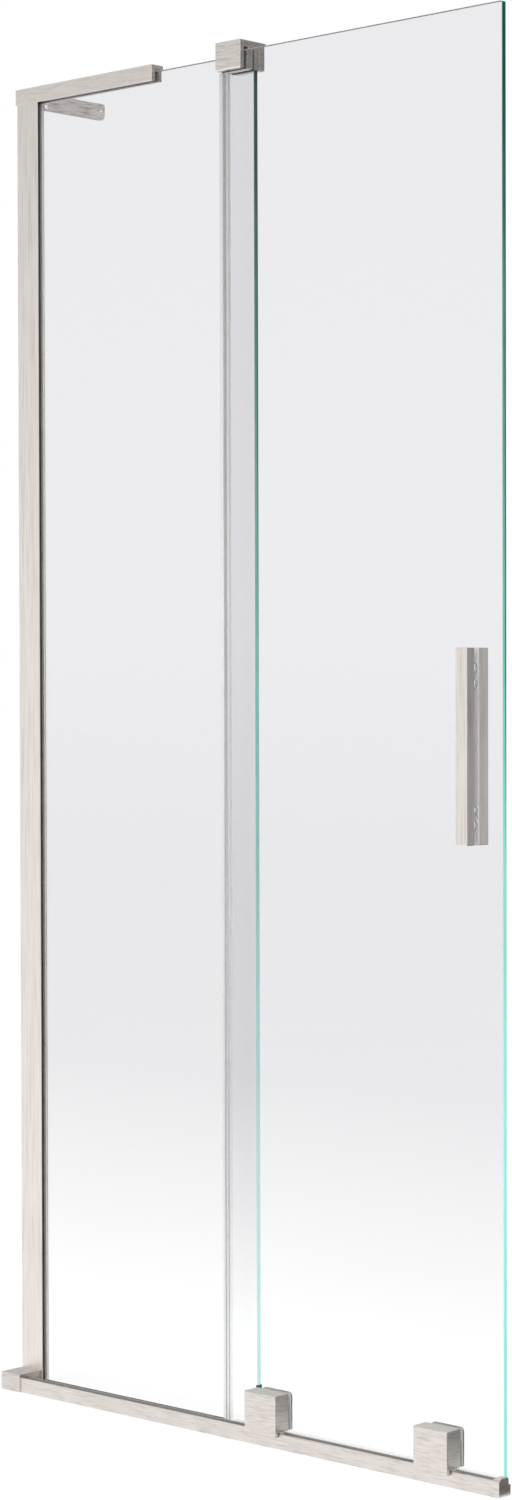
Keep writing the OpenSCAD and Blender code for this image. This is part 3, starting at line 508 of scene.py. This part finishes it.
def glass_edge(name, glass, back, block=None):
    """Ground edge of a pane whose back face is at Y back, with painted shade at the top and painted
    light near the floor.

    block is the height of the guide block's underside, for the fixed pane's edge alone, which gets
    more painted light lower down, painted shade just under the block and grey painted shade inside
    it.
    """
    finish = Finish(name, roughness=0.25, colour=glass.edge_middle)
    finish.set("IOR", GLASS_IOR)
    wander = finish.widen(finish.noise((40, 40, 9)), -EDGE_WANDER, EDGE_WANDER)
    place = finish.maths("ADD", finish.height(0.0, SCREEN_HEIGHT), wander)
    floor = glass.edge_fixed if block else glass.edge_floor
    middle = [c * FIXED_GAIN for c in glass.edge_middle] if block else glass.edge_middle
    # Painted light near the floor, painted shade at the top
    colour = finish.ramp(place, *zip(EDGE_STOPS, (floor, middle, glass.edge_top)))
    # Painted shade line along the edge by its back face, higher up
    line = finish.maths("MULTIPLY",
                        finish.spread(finish.along("Y"), *(back - depth for depth in REAR_LINE)),
                        finish.height(*(FIXED_LINE if block else DOOR_LINE)))
    line = finish.spread(line, 0, 1, 0, REAR_LINE_STRENGTH)
    colour = finish.mix_colour(line, colour, REAR_SHADE_COLOUR)
    if block:
        shade = finish.height(*(block - drop for drop in BLOCK_SHADE))
        colour = finish.mix_colour(shade, colour, BLOCK_SHADE_COLOUR)
        # Painted shade inside the block's slot
        inside = finish.height(block - BLOCK_FADE, block + BLOCK_FADE)
        colour = finish.mix_colour(inside, colour, IN_BLOCK_SHADE_COLOUR)
    finish.drive("Base Color", colour)
    finish.drive("Roughness", finish.widen(finish.noise((900, 900, 900)), 0.2, 0.35))
    return finish.material


# ---- Seals, steel and plastic ----

SEAL_IOR = 1.45
SEAL_HAZE = 0.45  # alpha of the door seal high up
SEAL_CHANGE = (0.3, 1.1)  # heights between which its lower ribs, with painted light near the floor, give way to the upper ones
SEAL_DARKENS = 1.2  # height from which painted shade greys it, up to GREY_SHARE of SEAL_GREY at the top
SEAL_GREY, GREY_SHARE = 0.2, 0.4
RIB_WANDER = 0.015  # how far the ribs wander, as a share of the seal's width
# Ribs across the door seal, whose greys are painted highlights and painted shade on its fins: place
# and grey high up, place and grey near the floor, and place and alpha near the floor
UPPER_RIBS = ((0.0, 0.55), (0.05, 0.60), (0.08, 0.95), (0.32, 1.0), (0.40, 0.42), (0.66, 0.38),
              (0.72, 1.0), (0.86, 1.0), (0.90, 0.70))
LOWER_RIBS = ((0.0, 0.9), (0.32, 0.9), (0.35, 0.34), (0.46, 0.38), (0.50, 1.0))
VEIL = ((0.0, 0.12), (0.32, 0.14), (0.35, 0.45), (0.46, 0.42), (0.50, 0.06), (0.85, 0.04))


def drawn_plastic(name, colour):
    """A clear plastic with fine lines from its drawing, and the output that gives these lines."""
    finish = Finish(name, roughness=0.2, colour=colour)
    finish.set("IOR", SEAL_IOR)
    lines = finish.noise((900, 900, 6))
    finish.drive("Roughness", finish.widen(lines, 0.14, 0.28))
    finish.bump(lines, 0.02 * MM, 0.5)
    return finish, lines


def clear_seal(name, alpha, dark, light):
    """Clear soft plastic, milky where alpha is high."""
    finish, lines = drawn_plastic(name, light)
    finish.set("Alpha", alpha)
    finish.drive("Base Color", finish.ramp(finish.widen(lines), (0.0, dark), (1.0, light)))
    return finish.material


def ribbed_seal(name, node):
    """Clear plastic with upright ribs as stripes of painted highlight and shade: milky with painted
    shade high up, clear with painted light beside one grey rib near the floor.
    """
    finish, lines = drawn_plastic(name, (0.9, 0.9, 0.9))
    near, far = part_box(node)
    across = finish.maths("ADD", finish.spread(finish.along("X"), near[0], far[0]),
                          finish.widen(lines, -RIB_WANDER, RIB_WANDER))
    # Stripes of painted highlight and shade across the ribs, lighter near the floor
    upper, lower, veil = (finish.ramp(across, *((place, (grey,) * 3) for place, grey in ribs))
                          for ribs in (UPPER_RIBS, LOWER_RIBS, VEIL))
    floor = finish.spread(finish.height(*SEAL_CHANGE), 0, 1, 1, 0)
    grey = finish.mix(floor, upper, lower)
    # Painted shade towards the top
    darker = finish.spread(finish.height(SEAL_DARKENS, SCREEN_HEIGHT), 0, 1, 0, GREY_SHARE)
    finish.drive("Base Color", finish.mix(darker, grey, SEAL_GREY))
    finish.drive("Alpha", finish.mix(floor, SEAL_HAZE, veil))
    return finish.material


def black_rubber(name):
    """Black gasket rubber, matt, with a faint bloom."""
    finish = Finish(name, roughness=0.7, colour=(0.02, 0.02, 0.02))
    bloom = finish.spread(finish.noise((60, 60, 20), 3.0), 0.35, 0.7)
    finish.drive("Base Color", finish.ramp(bloom, (0.0, (0.012, 0.012, 0.012)),
                                           (1.0, (0.035, 0.034, 0.033))))
    skin = finish.noise((1500, 1500, 1500))
    finish.drive("Roughness", finish.widen(skin, 0.6, 0.8))
    finish.bump(skin, 0.03 * MM, 0.5)
    return finish.material


def plain_steel(name):
    """Turned stainless steel."""
    finish = Finish(name, roughness=0.25, metallic=1.0, colour=(0.56, 0.56, 0.55))
    turning = finish.noise((40, 1800, 40))
    finish.drive("Base Color", finish.ramp(finish.widen(turning), (0.0, (0.48, 0.48, 0.47)),
                                           (1.0, (0.62, 0.62, 0.61))))
    finish.drive("Roughness", finish.spread(turning, 0.2, 0.8, 0.18, 0.32))
    finish.bump(turning, 0.02 * MM, 0.4)
    return finish.material


def moulded_plastic(name, dark, light, roughness):
    """Moulded plastic or rubber with a fine spark-eroded skin."""
    finish = Finish(name, roughness=roughness, colour=light)
    cloud = finish.spread(finish.noise((120, 120, 120)), 0.35, 0.65)
    finish.drive("Base Color", finish.ramp(cloud, (0.0, dark), (1.0, light)))
    skin = finish.noise((2500, 2500, 2500), 1.0)
    finish.drive("Roughness", finish.widen(skin, roughness - 0.06, roughness + 0.08))
    finish.bump(skin, 0.03 * MM, 0.4)
    return finish.material


# ---- Shapes ----

WELD = 0.01 * MM  # vertices nearer than this are one
AIR_SHARE = 0.02  # share of a pane's thickness left as air between it and what touches it
ROUND_CORNER = 8 * MM  # how far from the free edge its rounded corners can reach
FLAT_ANGLE = 0.01  # faces that meet at less than this, in radians, are one
SHARP_ANGLE = math.radians(60)
BROAD, NARROW = 0.95, 0.3  # Y of a normal: more on a pane's broad faces, less on its edges
BODY, EDGE, ARRIS, COVERED, TOP_EDGE = range(5)  # order of a pane's materials

RING_POINTS = 36
DOME_ANGLES = (1.1, 0.8, 0.5, 0.2, 0.0)  # heights of a dome's rings above its rim, in radians
GRUB_CHAMFER = 0.3 * MM
SOCKET_POINT = 0.4  # radius of the drilled point at the socket's end, as a share of the socket's
POINT_DEPTH = 0.3 * MM
SOCKET_CHAMFER = (0.25 * MM, 0.3 * MM)  # width and depth of the socket's countersink
FACE_DROP = 0.01 * MM  # depth of the countersink's rim
SHANK_CHAMFER = 0.5 * MM


def dress(node, material):
    """Give a CAD node its material, and return its object."""
    piece = NODES[node]
    piece.data.materials.clear()
    piece.data.materials.append(material)
    return piece


def new_piece(name, mesh, materials, body, slot, *nodes):
    """A piece of its own that rides on a body and stands for CAD nodes."""
    piece = bpy.data.objects.new(name, mesh)
    bpy.context.scene.collection.objects.link(piece)
    for material in materials:
        mesh.materials.append(material)
    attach(piece, body)
    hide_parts(*nodes)
    return piece


def welded(node):
    """The mesh of a CAD node with its faces joined at their edges."""
    source = bmesh.new()
    source.from_mesh(NODES[node].data)
    bmesh.ops.remove_doubles(source, verts=source.verts, dist=WELD)
    return source


def finished(source, name):
    """A new mesh from a bmesh, which is freed."""
    mesh = bpy.data.meshes.new(name)
    source.to_mesh(mesh)
    source.free()
    return mesh


def pane(name, node, body, materials, arris):
    """A pane with ground arrises, made from its CAD outline.

    Its materials are those of the clear body, the free edge, the arrises, the covered edges and
    holes, and the top edge.
    """
    source = welded(node)
    bmesh.ops.dissolve_limit(source, angle_limit=FLAT_ANGLE, verts=source.verts,
                             edges=source.edges)
    middle = sum(corner[1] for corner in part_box(node)) / 2
    for vertex in source.verts:
        vertex.co.y = middle + (vertex.co.y - middle) * (1 - AIR_SHARE)
    sharp = [edge for edge in source.edges
             if len(edge.link_faces) == 2 and edge.calc_face_angle(0) > SHARP_ANGLE]
    right = max(v.co.x for v in source.verts)
    top = max(v.co.z for v in source.verts)
    bmesh.ops.bevel(source, geom=sharp, offset=arris, segments=1, profile=0.5, affect="EDGES")
    for face in source.faces:
        face.normal_update()
        centre = face.calc_center_median()
        if abs(face.normal.y) > BROAD:
            face.material_index = BODY
        elif centre.z > top - 2 * arris:
            face.material_index = TOP_EDGE
        elif centre.x < right - ROUND_CORNER:
            face.material_index = COVERED
        else:
            face.material_index = EDGE if abs(face.normal.y) < NARROW else ARRIS
    piece = new_piece(name, finished(source, name), materials, body, "clear_glass", node)
    piece.visible_shadow = False
    return piece


def lumps(node):
    """Lowest and highest corners of each separate solid of a CAD node, from left to right."""
    source = welded(node)
    left = set(source.verts)
    boxes = []
    while left:
        group, rim = set(), [left.pop()]
        while rim:
            vertex = rim.pop()
            group.add(vertex)
            for link in vertex.link_edges:
                other = link.other_vert(vertex)
                if other in left:
                    left.discard(other)
                    rim.append(other)
        low = Vector([min(v.co[i] for v in group) for i in range(3)])
        high = Vector([max(v.co[i] for v in group) for i in range(3)])
        boxes.append((low, high))
    source.free()
    return sorted(boxes, key=lambda box: tuple(round(c, 5) for c in box[0]))


def ring(radius, height, six=False):
    """A level ring of points, round or six-sided with the radius at its corners."""
    points = []
    for i in range(RING_POINTS):
        angle = 2 * math.pi * i / RING_POINTS
        size = radius
        if six:
            size *= math.cos(math.pi / 6) / math.cos(angle % (math.pi / 3) - math.pi / 6)
        points.append(Vector((size * math.cos(angle), size * math.sin(angle), height)))
    return points


def grub_head(radius):
    """Outline of a grub screw's chamfered end."""
    return [(radius - GRUB_CHAMFER, 0), (radius, GRUB_CHAMFER)]


def button_head(radius, height, shank):
    """Outline of a domed head on a shank."""
    dome = [(radius * math.cos(a), height * (1 - math.sin(a))) for a in DOME_ANGLES]
    return dome + [(shank, height)]


def screws(name, node, material, body, axis, outline, socket):
    """Socket screws in place of a node's plain ones, with their heads towards axis.

    outline gives the head from its rim down as radius and depth, and ends with the radius of the
    shank; socket is the hexagon's radius across its corners, and its depth.
    """
    made = bmesh.new()
    axis = Vector(axis)
    turn = axis.to_track_quat("Z", "Y").to_matrix()
    hexagon, deep = socket
    rim_width, rim_depth = SOCKET_CHAMFER
    shank = outline[-1][0]
    for low, high in lumps(node):
        length = 2 * abs(((high - low) / 2).dot(axis))
        head = (low + high) / 2 + axis * length / 2
        rings = [ring(hexagon * SOCKET_POINT, -deep - POINT_DEPTH, six=True),
                 ring(hexagon, -deep, six=True),
                 ring(hexagon, -rim_depth, six=True),
                 ring(hexagon + rim_width, -FACE_DROP)]
        rings += [ring(radius, -depth) for radius, depth in outline]
        rings += [ring(shank, -length + SHANK_CHAMFER), ring(shank - SHANK_CHAMFER, -length)]
        rows = [[made.verts.new(head + turn @ p) for p in points] for points in rings]
        for upper, lower in zip(rows, rows[1:]):
            for i in range(RING_POINTS):
                j = (i + 1) % RING_POINTS
                made.faces.new((upper[i], upper[j], lower[j], lower[i]))
        made.faces.new(rows[0])
        made.faces.new(list(reversed(rows[-1])))
    bmesh.ops.recalc_face_normals(made, faces=made.faces)
    return new_piece(name, finished(made, name), (material,), body, "steel", node)


BACK, LEFT = (0, 1, 0), (-1, 0, 0)
# Socket screws: name, node, body, where their heads point, outline, socket
SCREWS = (
    ("cap_grub_screws", "cap_screws", "frame", BACK,
     grub_head(2.48 * MM), (1.3 * MM, 2 * MM)),
    ("guide_grub_screws", "guide_screws", "frame", BACK,
     grub_head(2.98 * MM), (1.6 * MM, 2.6 * MM)),
    ("handle_grub_screws", "handle_screws", "door", LEFT,
     grub_head(1.98 * MM), (1.1 * MM, 1.5 * MM)),
    ("bracket_button_screws", "bracket_screws", "frame", BACK,
     button_head(3.8 * MM, 2.2 * MM, 1.98 * MM), (1.35 * MM, 1.2 * MM)),
    ("clamp_countersunk_screws", "clamp_screws", "door", BACK,
     ((4.6 * MM, 0), (4.8 * MM, 0.15 * MM), (2.5 * MM, 2.4 * MM)), (1.7 * MM, 1.8 * MM)),
)


# ---- Stage ----

SENSOR = 36  # long side, in mm
CLIP = (0.1, 100)  # nearest and farthest that the camera sees
FLOOR_HALF = 60  # half the floor's width
FLOOR_DROP = 0.3 * MM  # how far the floor lies under the screen
FLOOR_WANDER = 0.005  # how far the floor's grey wanders up and down
# Lamps: name, place, what it points at, size, power in watts
LAMPS = (
    ("key", (-0.6, -3.4, 3.6), (0.5, 0, 0.9), 3.0, 45),
    ("fill", (3.6, -1.2, 2.2), (0.6, 0, 0.8), 2.5, 90),
)
# Flags: name, place, what it points at, half width and half height, share of these at which its
# rim starts to fade, grey at its bottom, grey at its top
FLAGS = (
    ("flag_right", (2.5, 1.9, 1.4), (0.7, 0, 1.4), (2.4, 2.4), 0.4, 0.60, 0.06),
    ("flag_left", (-1.6, 2.2, 0.45), (0.6, 0, 0.05), (1.4, 0.8), 0.4, 0.35, 0.45),
    ("flag_above", (-2.2, -3.0, 4.2), (0.4, 0, 1.9), (3.0, 3.0), 0.3, 0.64, 0.64),
    ("flag_floor", (0.9, 1.2, 0.0005), (0.9, 1.2, 1.0), (2.4, 1.2), 0.85, 0.16, 0.16),
    ("flag_end", (1.98, -0.12, 0.0007), (1.98, -0.12, 1.0), (1.0, 0.18), 0.99, 0.10, 0.10),
)


def sheet(name, wide, tall, height=0.0):
    """A flat mesh about its middle, from its half width and half height."""
    mesh = bpy.data.meshes.new(name)
    mesh.from_pydata([(-wide, -tall, height), (wide, -tall, height), (wide, tall, height),
                      (-wide, tall, height)], [], [(0, 1, 2, 3)])
    return mesh


def facing(place, target, axis):
    """The turn that points an axis from a place towards its target."""
    return (Vector(target) - Vector(place)).to_track_quat(axis, "Y").to_euler()


def seen_directly(tree):
    """1 for what the camera sees, also in a reflection or through glass."""
    path = tree.nodes.new("ShaderNodeLightPath")
    seen = path.outputs["Is Camera Ray"]
    for ray in ("Is Glossy Ray", "Is Transmission Ray"):
        either = tree.nodes.new("ShaderNodeMath")
        either.operation = "MAXIMUM"
        tree.links.new(seen, either.inputs[0])
        tree.links.new(path.outputs[ray], either.inputs[1])
        seen = either.outputs[0]
    return seen


def floor_paint(stage):
    """Matt floor that looks white, also where it sends back less light than that."""
    finish = Finish("floor", roughness=1.0, colour=(stage.floor_shade,) * 3)
    finish.set("Specular IOR Level", 0.0)
    dark, light = ((stage.floor_shade + c,) * 3 for c in (-FLOOR_WANDER, FLOOR_WANDER))
    finish.drive("Base Color", finish.ramp(finish.noise((2, 2, 2), 3.0),
                                           (NOISE_LOW, dark), (NOISE_HIGH, light)))
    glow = finish.node("ShaderNodeEmission")
    finish.link(seen_directly(finish.tree), glow.inputs["Strength"])
    missing = (1 - stage.floor_shade * c for c in stage.surroundings)
    glow.inputs["Color"].default_value = (*missing, 1)
    total = finish.node("ShaderNodeAddShader")
    finish.link(finish.shader.outputs[0], total.inputs[0])
    finish.link(glow.outputs[0], total.inputs[1])
    finish.surface(total.outputs[0])
    return finish.material


def flag_cloth(name, half, soft, low, high):
    """Grey from low at the bottom to high at the top, for rays that some surface has reflected.

    It fades to white from soft, a share of its half size, to its rim.
    """
    finish = Finish(name)
    wide, tall = half
    size = finish.node("ShaderNodeVectorMath", operation="ABSOLUTE")
    finish.link(finish.place((1 / wide, 1 / tall, 1)), size.inputs[0])
    sides = finish.split(size.outputs["Vector"])
    fade = finish.spread(finish.maths("MAXIMUM", sides["X"], sides["Y"]), soft, 1.0)
    grey = finish.ramp(finish.spread(finish.along("Y"), -tall / 2, tall / 2),
                       (0.0, (low,) * 3), (1.0, (high,) * 3))
    glow = finish.node("ShaderNodeEmission")
    finish.link(finish.mix_colour(fade, grey, WHITE), glow.inputs["Color"])
    path = finish.node("ShaderNodeLightPath")
    chosen = finish.node("ShaderNodeMixShader")
    finish.link(finish.maths("GREATER_THAN", path.outputs["Glossy Depth"], 0.5), chosen.inputs[0])
    finish.link(finish.node("ShaderNodeBsdfTransparent").outputs[0], chosen.inputs[1])
    finish.link(glow.outputs[0], chosen.inputs[2])
    finish.surface(chosen.outputs[0])
    return finish.material


# ---- Operators ----

class SCREEN_OT_stage(Operator):
    """Set up the camera, the floor, the lamps and the white surroundings"""
    bl_idname = "shower_screen.stage"
    bl_label = "Stage"

    def execute(self, context):
        stage = context.scene.screen_stage
        context.scene.view_settings.view_transform = "Standard"
        self.camera(context, stage)
        self.floor(context, stage)
        self.lamps(context)
        self.flags(context)
        self.surroundings(context, stage)
        return {"FINISHED"}

    def camera(self, context, stage):
        """Put up the camera as it stood for the photograph."""
        heading, pitch, roll = (math.radians(a) for a in stage.camera_turn)
        forward = Vector((-math.sin(heading) * math.cos(pitch),
                          math.cos(heading) * math.cos(pitch), math.sin(pitch)))
        level = Vector((math.cos(heading), math.sin(heading), 0))
        upward = level.cross(forward)
        right = math.cos(roll) * level + math.sin(roll) * upward
        top = -math.sin(roll) * level + math.cos(roll) * upward
        turn = Matrix((right, top, -forward)).transposed()
        data = bpy.data.cameras.new("camera")
        data.sensor_width = SENSOR
        data.lens = stage.camera_lens
        data.clip_start, data.clip_end = CLIP
        camera = bpy.data.objects.new("camera", data)
        camera.matrix_world = Matrix.Translation(stage.camera_place) @ turn.to_4x4()
        context.scene.collection.objects.link(camera)
        context.scene.camera = camera

    def floor(self, context, stage):
        """Lay a floor just under the screen."""
        floor = bpy.data.objects.new("floor", sheet("floor", FLOOR_HALF, FLOOR_HALF, -FLOOR_DROP))
        context.scene.collection.objects.link(floor)
        floor.data.materials.append(floor_paint(stage))

    def lamps(self, context):
        """Hang two large soft lamps."""
        for name, place, target, size, power in LAMPS:
            data = bpy.data.lights.new(name, "AREA")
            data.size = size
            data.energy = power
            lamp = bpy.data.objects.new(name, data)
            lamp.location = place
            lamp.rotation_euler = facing(place, target, "-Z")
            lamp.visible_glossy = False
            lamp.visible_transmission = False
            context.scene.collection.objects.link(lamp)

    def flags(self, context):
        """Grey soft-edged screens that only the metal reflects, as a photographer sets them."""
        for name, place, target, half, soft, low, high in FLAGS:
            flag = bpy.data.objects.new(name, sheet(name, *half))
            flag.location = place
            flag.rotation_euler = facing(place, target, "Z")
            for kind in ("camera", "diffuse", "volume_scatter", "shadow"):
                setattr(flag, "visible_" + kind, False)
            context.scene.collection.objects.link(flag)
            flag.data.materials.append(flag_cloth(name, half, soft, low, high))

    def surroundings(self, context, stage):
        """White for what is seen directly, and a little grey for the light that it sends."""
        world = bpy.data.worlds.new("surroundings")
        context.scene.world = world
        world.use_nodes = True
        tree = world.node_tree
        studio = tree.nodes["Background"]
        studio.inputs["Color"].default_value = (*stage.surroundings, 1)
        white = tree.nodes.new("ShaderNodeBackground")
        white.inputs["Color"].default_value = (*WHITE, 1)
        chosen = tree.nodes.new("ShaderNodeMixShader")
        tree.links.new(seen_directly(tree), chosen.inputs[0])
        tree.links.new(studio.outputs[0], chosen.inputs[1])
        tree.links.new(white.outputs[0], chosen.inputs[2])
        tree.links.new(chosen.outputs[0], tree.nodes["World Output"].inputs["Surface"])


class SCREEN_OT_blocks(Operator):
    """Finish the blocks, rails and plates in nickel brushed along their length"""
    bl_idname = "shower_screen.blocks"
    bl_label = "Blocks and rails"

    def execute(self, context):
        nickel = context.scene.screen_nickel
        rail_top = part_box("bottom_rail")[1][2]
        track_front, track_back = (corner[1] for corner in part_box("rail_track"))
        # Matt metal in the groove, coloured dark as painted shade
        groove = (track_front - GROOVE_MARGIN, track_back + GROOVE_MARGIN, *GROOVE_PAINTED_SHADE)
        dress("guide_block", brushed_nickel(
            "nickel_block", nickel, roughness=0.28, edge=front_highlight("guide_block", nickel.edge)))
        dress("cap_rail", brushed_nickel(
            "nickel_cap", nickel, contrast=0.5, edge=front_highlight("cap_rail", nickel.edge)))
        dress("wall_bracket", brushed_nickel(
            "nickel_bracket", nickel, contrast=2.2, metallic=0.6))
        # Dimmer copies of the nickel by the floor: painted shade
        for node, shade, contrast, width in LOWER_BLOCKS:
            dress(node, brushed_nickel(
                "nickel_" + node, nickel, shade=shade * nickel.lower, contrast=contrast,
                edge=front_highlight(node, width * nickel.edge, rail_top)))
        # A much dimmer copy of the nickel on the clamp plates: painted shade on their edges
        plate = brushed_nickel("nickel_plate_painted_shade", nickel, shade=0.5)
        for node in CLAMP_PLATES:
            dress(node, plate)
        # The rail's nickel is a dimmer copy: painted shade
        dress("bottom_rail", brushed_nickel(
            "nickel_rail", nickel, shade=nickel.lower, contrast=0.8, bare=groove,
            edge=front_highlight("bottom_rail", nickel.edge)))
        return {"FINISHED"}


class SCREEN_OT_uprights(Operator):
    """Finish the wall channel and the handle in nickel brushed up and down"""
    bl_idname = "shower_screen.uprights"
    bl_label = "Wall channel and handle"

    def execute(self, context):
        nickel = context.scene.screen_nickel
        dress("wall_profile", brushed_nickel(
            "nickel_upright", nickel, upright=True, contrast=0.7,
            edge=front_highlight("wall_profile", nickel.edge)))
        front, rear = (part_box(node) for node in HANDLE)
        # Near-white matt inner faces of the bars: painted light in the shaded gap between them
        inside = (front[1][1] - INSIDE_MARGIN, rear[0][1] + INSIDE_MARGIN, *INSIDE_PAINTED_LIGHT)
        # The handle's nickel is a slightly dimmer copy: painted shade
        for node, metallic in zip(HANDLE, HANDLE_METALLIC):
            dress(node, brushed_nickel(
                "nickel_" + node, nickel, upright=True, shade=nickel.handle, contrast=0.8,
                metallic=metallic, bare=inside, edge=front_highlight(node, 2.5 * nickel.edge)))
        return {"FINISHED"}


class SCREEN_OT_panes(Operator):
    """Make both glass panes with ground green edges"""
    bl_idname = "shower_screen.panes"
    bl_label = "Panes"

    def execute(self, context):
        glass = context.scene.screen_glass
        body = glass_body("glass_body", glass)
        others = (frosted_edge("glass_arris", glass.frost, top=glass.frost_top),
                  frosted_edge("glass_covered", COVERED_GLASS, COVERED_ALPHA),
                  frosted_edge("glass_top_edge", glass.top_edge))
        fixed_back, door_back = (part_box(node)[1][1] for node in ("fixed_glass", "door_glass"))
        fixed_edge = glass_edge("glass_edge_in_block", glass, fixed_back,
                                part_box("guide_block")[0][2])
        door_edge = glass_edge("glass_edge", glass, door_back)
        pane("fixed_pane", "fixed_glass", "frame", (body, fixed_edge, *others), glass.arris)
        pane("door_pane", "door_glass", "door", (body, door_edge, *others), glass.arris)
        return {"FINISHED"}


class SCREEN_OT_seals(Operator):
    """Finish the clear seals, the soft pads and washers, and the gaskets"""
    bl_idname = "shower_screen.seals"
    bl_label = "Seals"

    def execute(self, context):
        dress("door_seal", ribbed_seal("seal_clear", "door_seal")).visible_shadow = False
        for name, alpha, dark, light, nodes in CLEAR_SEALS:
            plastic = clear_seal(name, alpha, dark, light)
            for node in nodes:
                dress(node, plastic).visible_shadow = alpha == 1.0
        rubber = black_rubber("rubber_black")
        for node in RUBBERS:
            dress(node, rubber)
        for name, dark, light, roughness, nodes in MOULDED_SEALS:
            rubber = moulded_plastic(name, dark, light, roughness)
            for node in nodes:
                dress(node, rubber)
        return {"FINISHED"}


class SCREEN_OT_running_gear(Operator):
    """Finish the rollers, bearings, shoes and track"""
    bl_idname = "shower_screen.running_gear"
    bl_label = "Running gear"

    def execute(self, context):
        steel = plain_steel("steel_turned")
        for node in STEELS:
            dress(node, steel)
        for name, dark, light, roughness, nodes in MOULDED_GEAR:
            plastic = moulded_plastic(name, dark, light, roughness)
            for node in nodes:
                dress(node, plastic)
        return {"FINISHED"}


class SCREEN_OT_screws(Operator):
    """Make the socket screws of the cap rail, bracket, guide block, clamps and handle"""
    bl_idname = "shower_screen.screws"
    bl_label = "Screws"

    def execute(self, context):
        steel = plain_steel("steel_screws")
        for name, node, body, axis, outline, socket in SCREWS:
            screws(name, node, steel, body, axis, outline, socket)
        return {"FINISHED"}


class SCREEN_PT_panel(Panel):
    """Lists the settings, and the steps that dress the screen"""
    bl_label = "Shower Screen"
    bl_idname = "SCREEN_PT_panel"
    bl_space_type = "VIEW_3D"
    bl_region_type = "UI"
    bl_category = "Shower Screen"

    def draw(self, context):
        scene = context.scene
        for group in (scene.screen_nickel, scene.screen_glass, scene.screen_stage):
            box = self.layout.box()
            for name in group.__annotations__:
                box.prop(group, name)
        for operator in STEPS:
            self.layout.operator(operator.bl_idname)


STEPS = (SCREEN_OT_stage, SCREEN_OT_blocks, SCREEN_OT_uprights, SCREEN_OT_panes, SCREEN_OT_seals,
         SCREEN_OT_running_gear, SCREEN_OT_screws)
CLASSES = (NickelSettings, GlassSettings, StageSettings, *STEPS, SCREEN_PT_panel)


def register():
    """Make the classes and the settings known to Blender."""
    for cls in CLASSES:
        bpy.utils.register_class(cls)
    bpy.types.Scene.screen_nickel = PointerProperty(type=NickelSettings)
    bpy.types.Scene.screen_glass = PointerProperty(type=GlassSettings)
    bpy.types.Scene.screen_stage = PointerProperty(type=StageSettings)


def unregister():
    """Take the settings and the classes away again."""
    del bpy.types.Scene.screen_stage
    del bpy.types.Scene.screen_glass
    del bpy.types.Scene.screen_nickel
    for cls in reversed(CLASSES):
        bpy.utils.unregister_class(cls)


def main():
    register()
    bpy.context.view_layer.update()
    bpy.ops.shower_screen.stage()
    bpy.ops.shower_screen.blocks()
    bpy.ops.shower_screen.uprights()
    bpy.ops.shower_screen.panes()
    bpy.ops.shower_screen.seals()
    bpy.ops.shower_screen.running_gear()
    bpy.ops.shower_screen.screws()


if __name__ == "__main__":
    main()
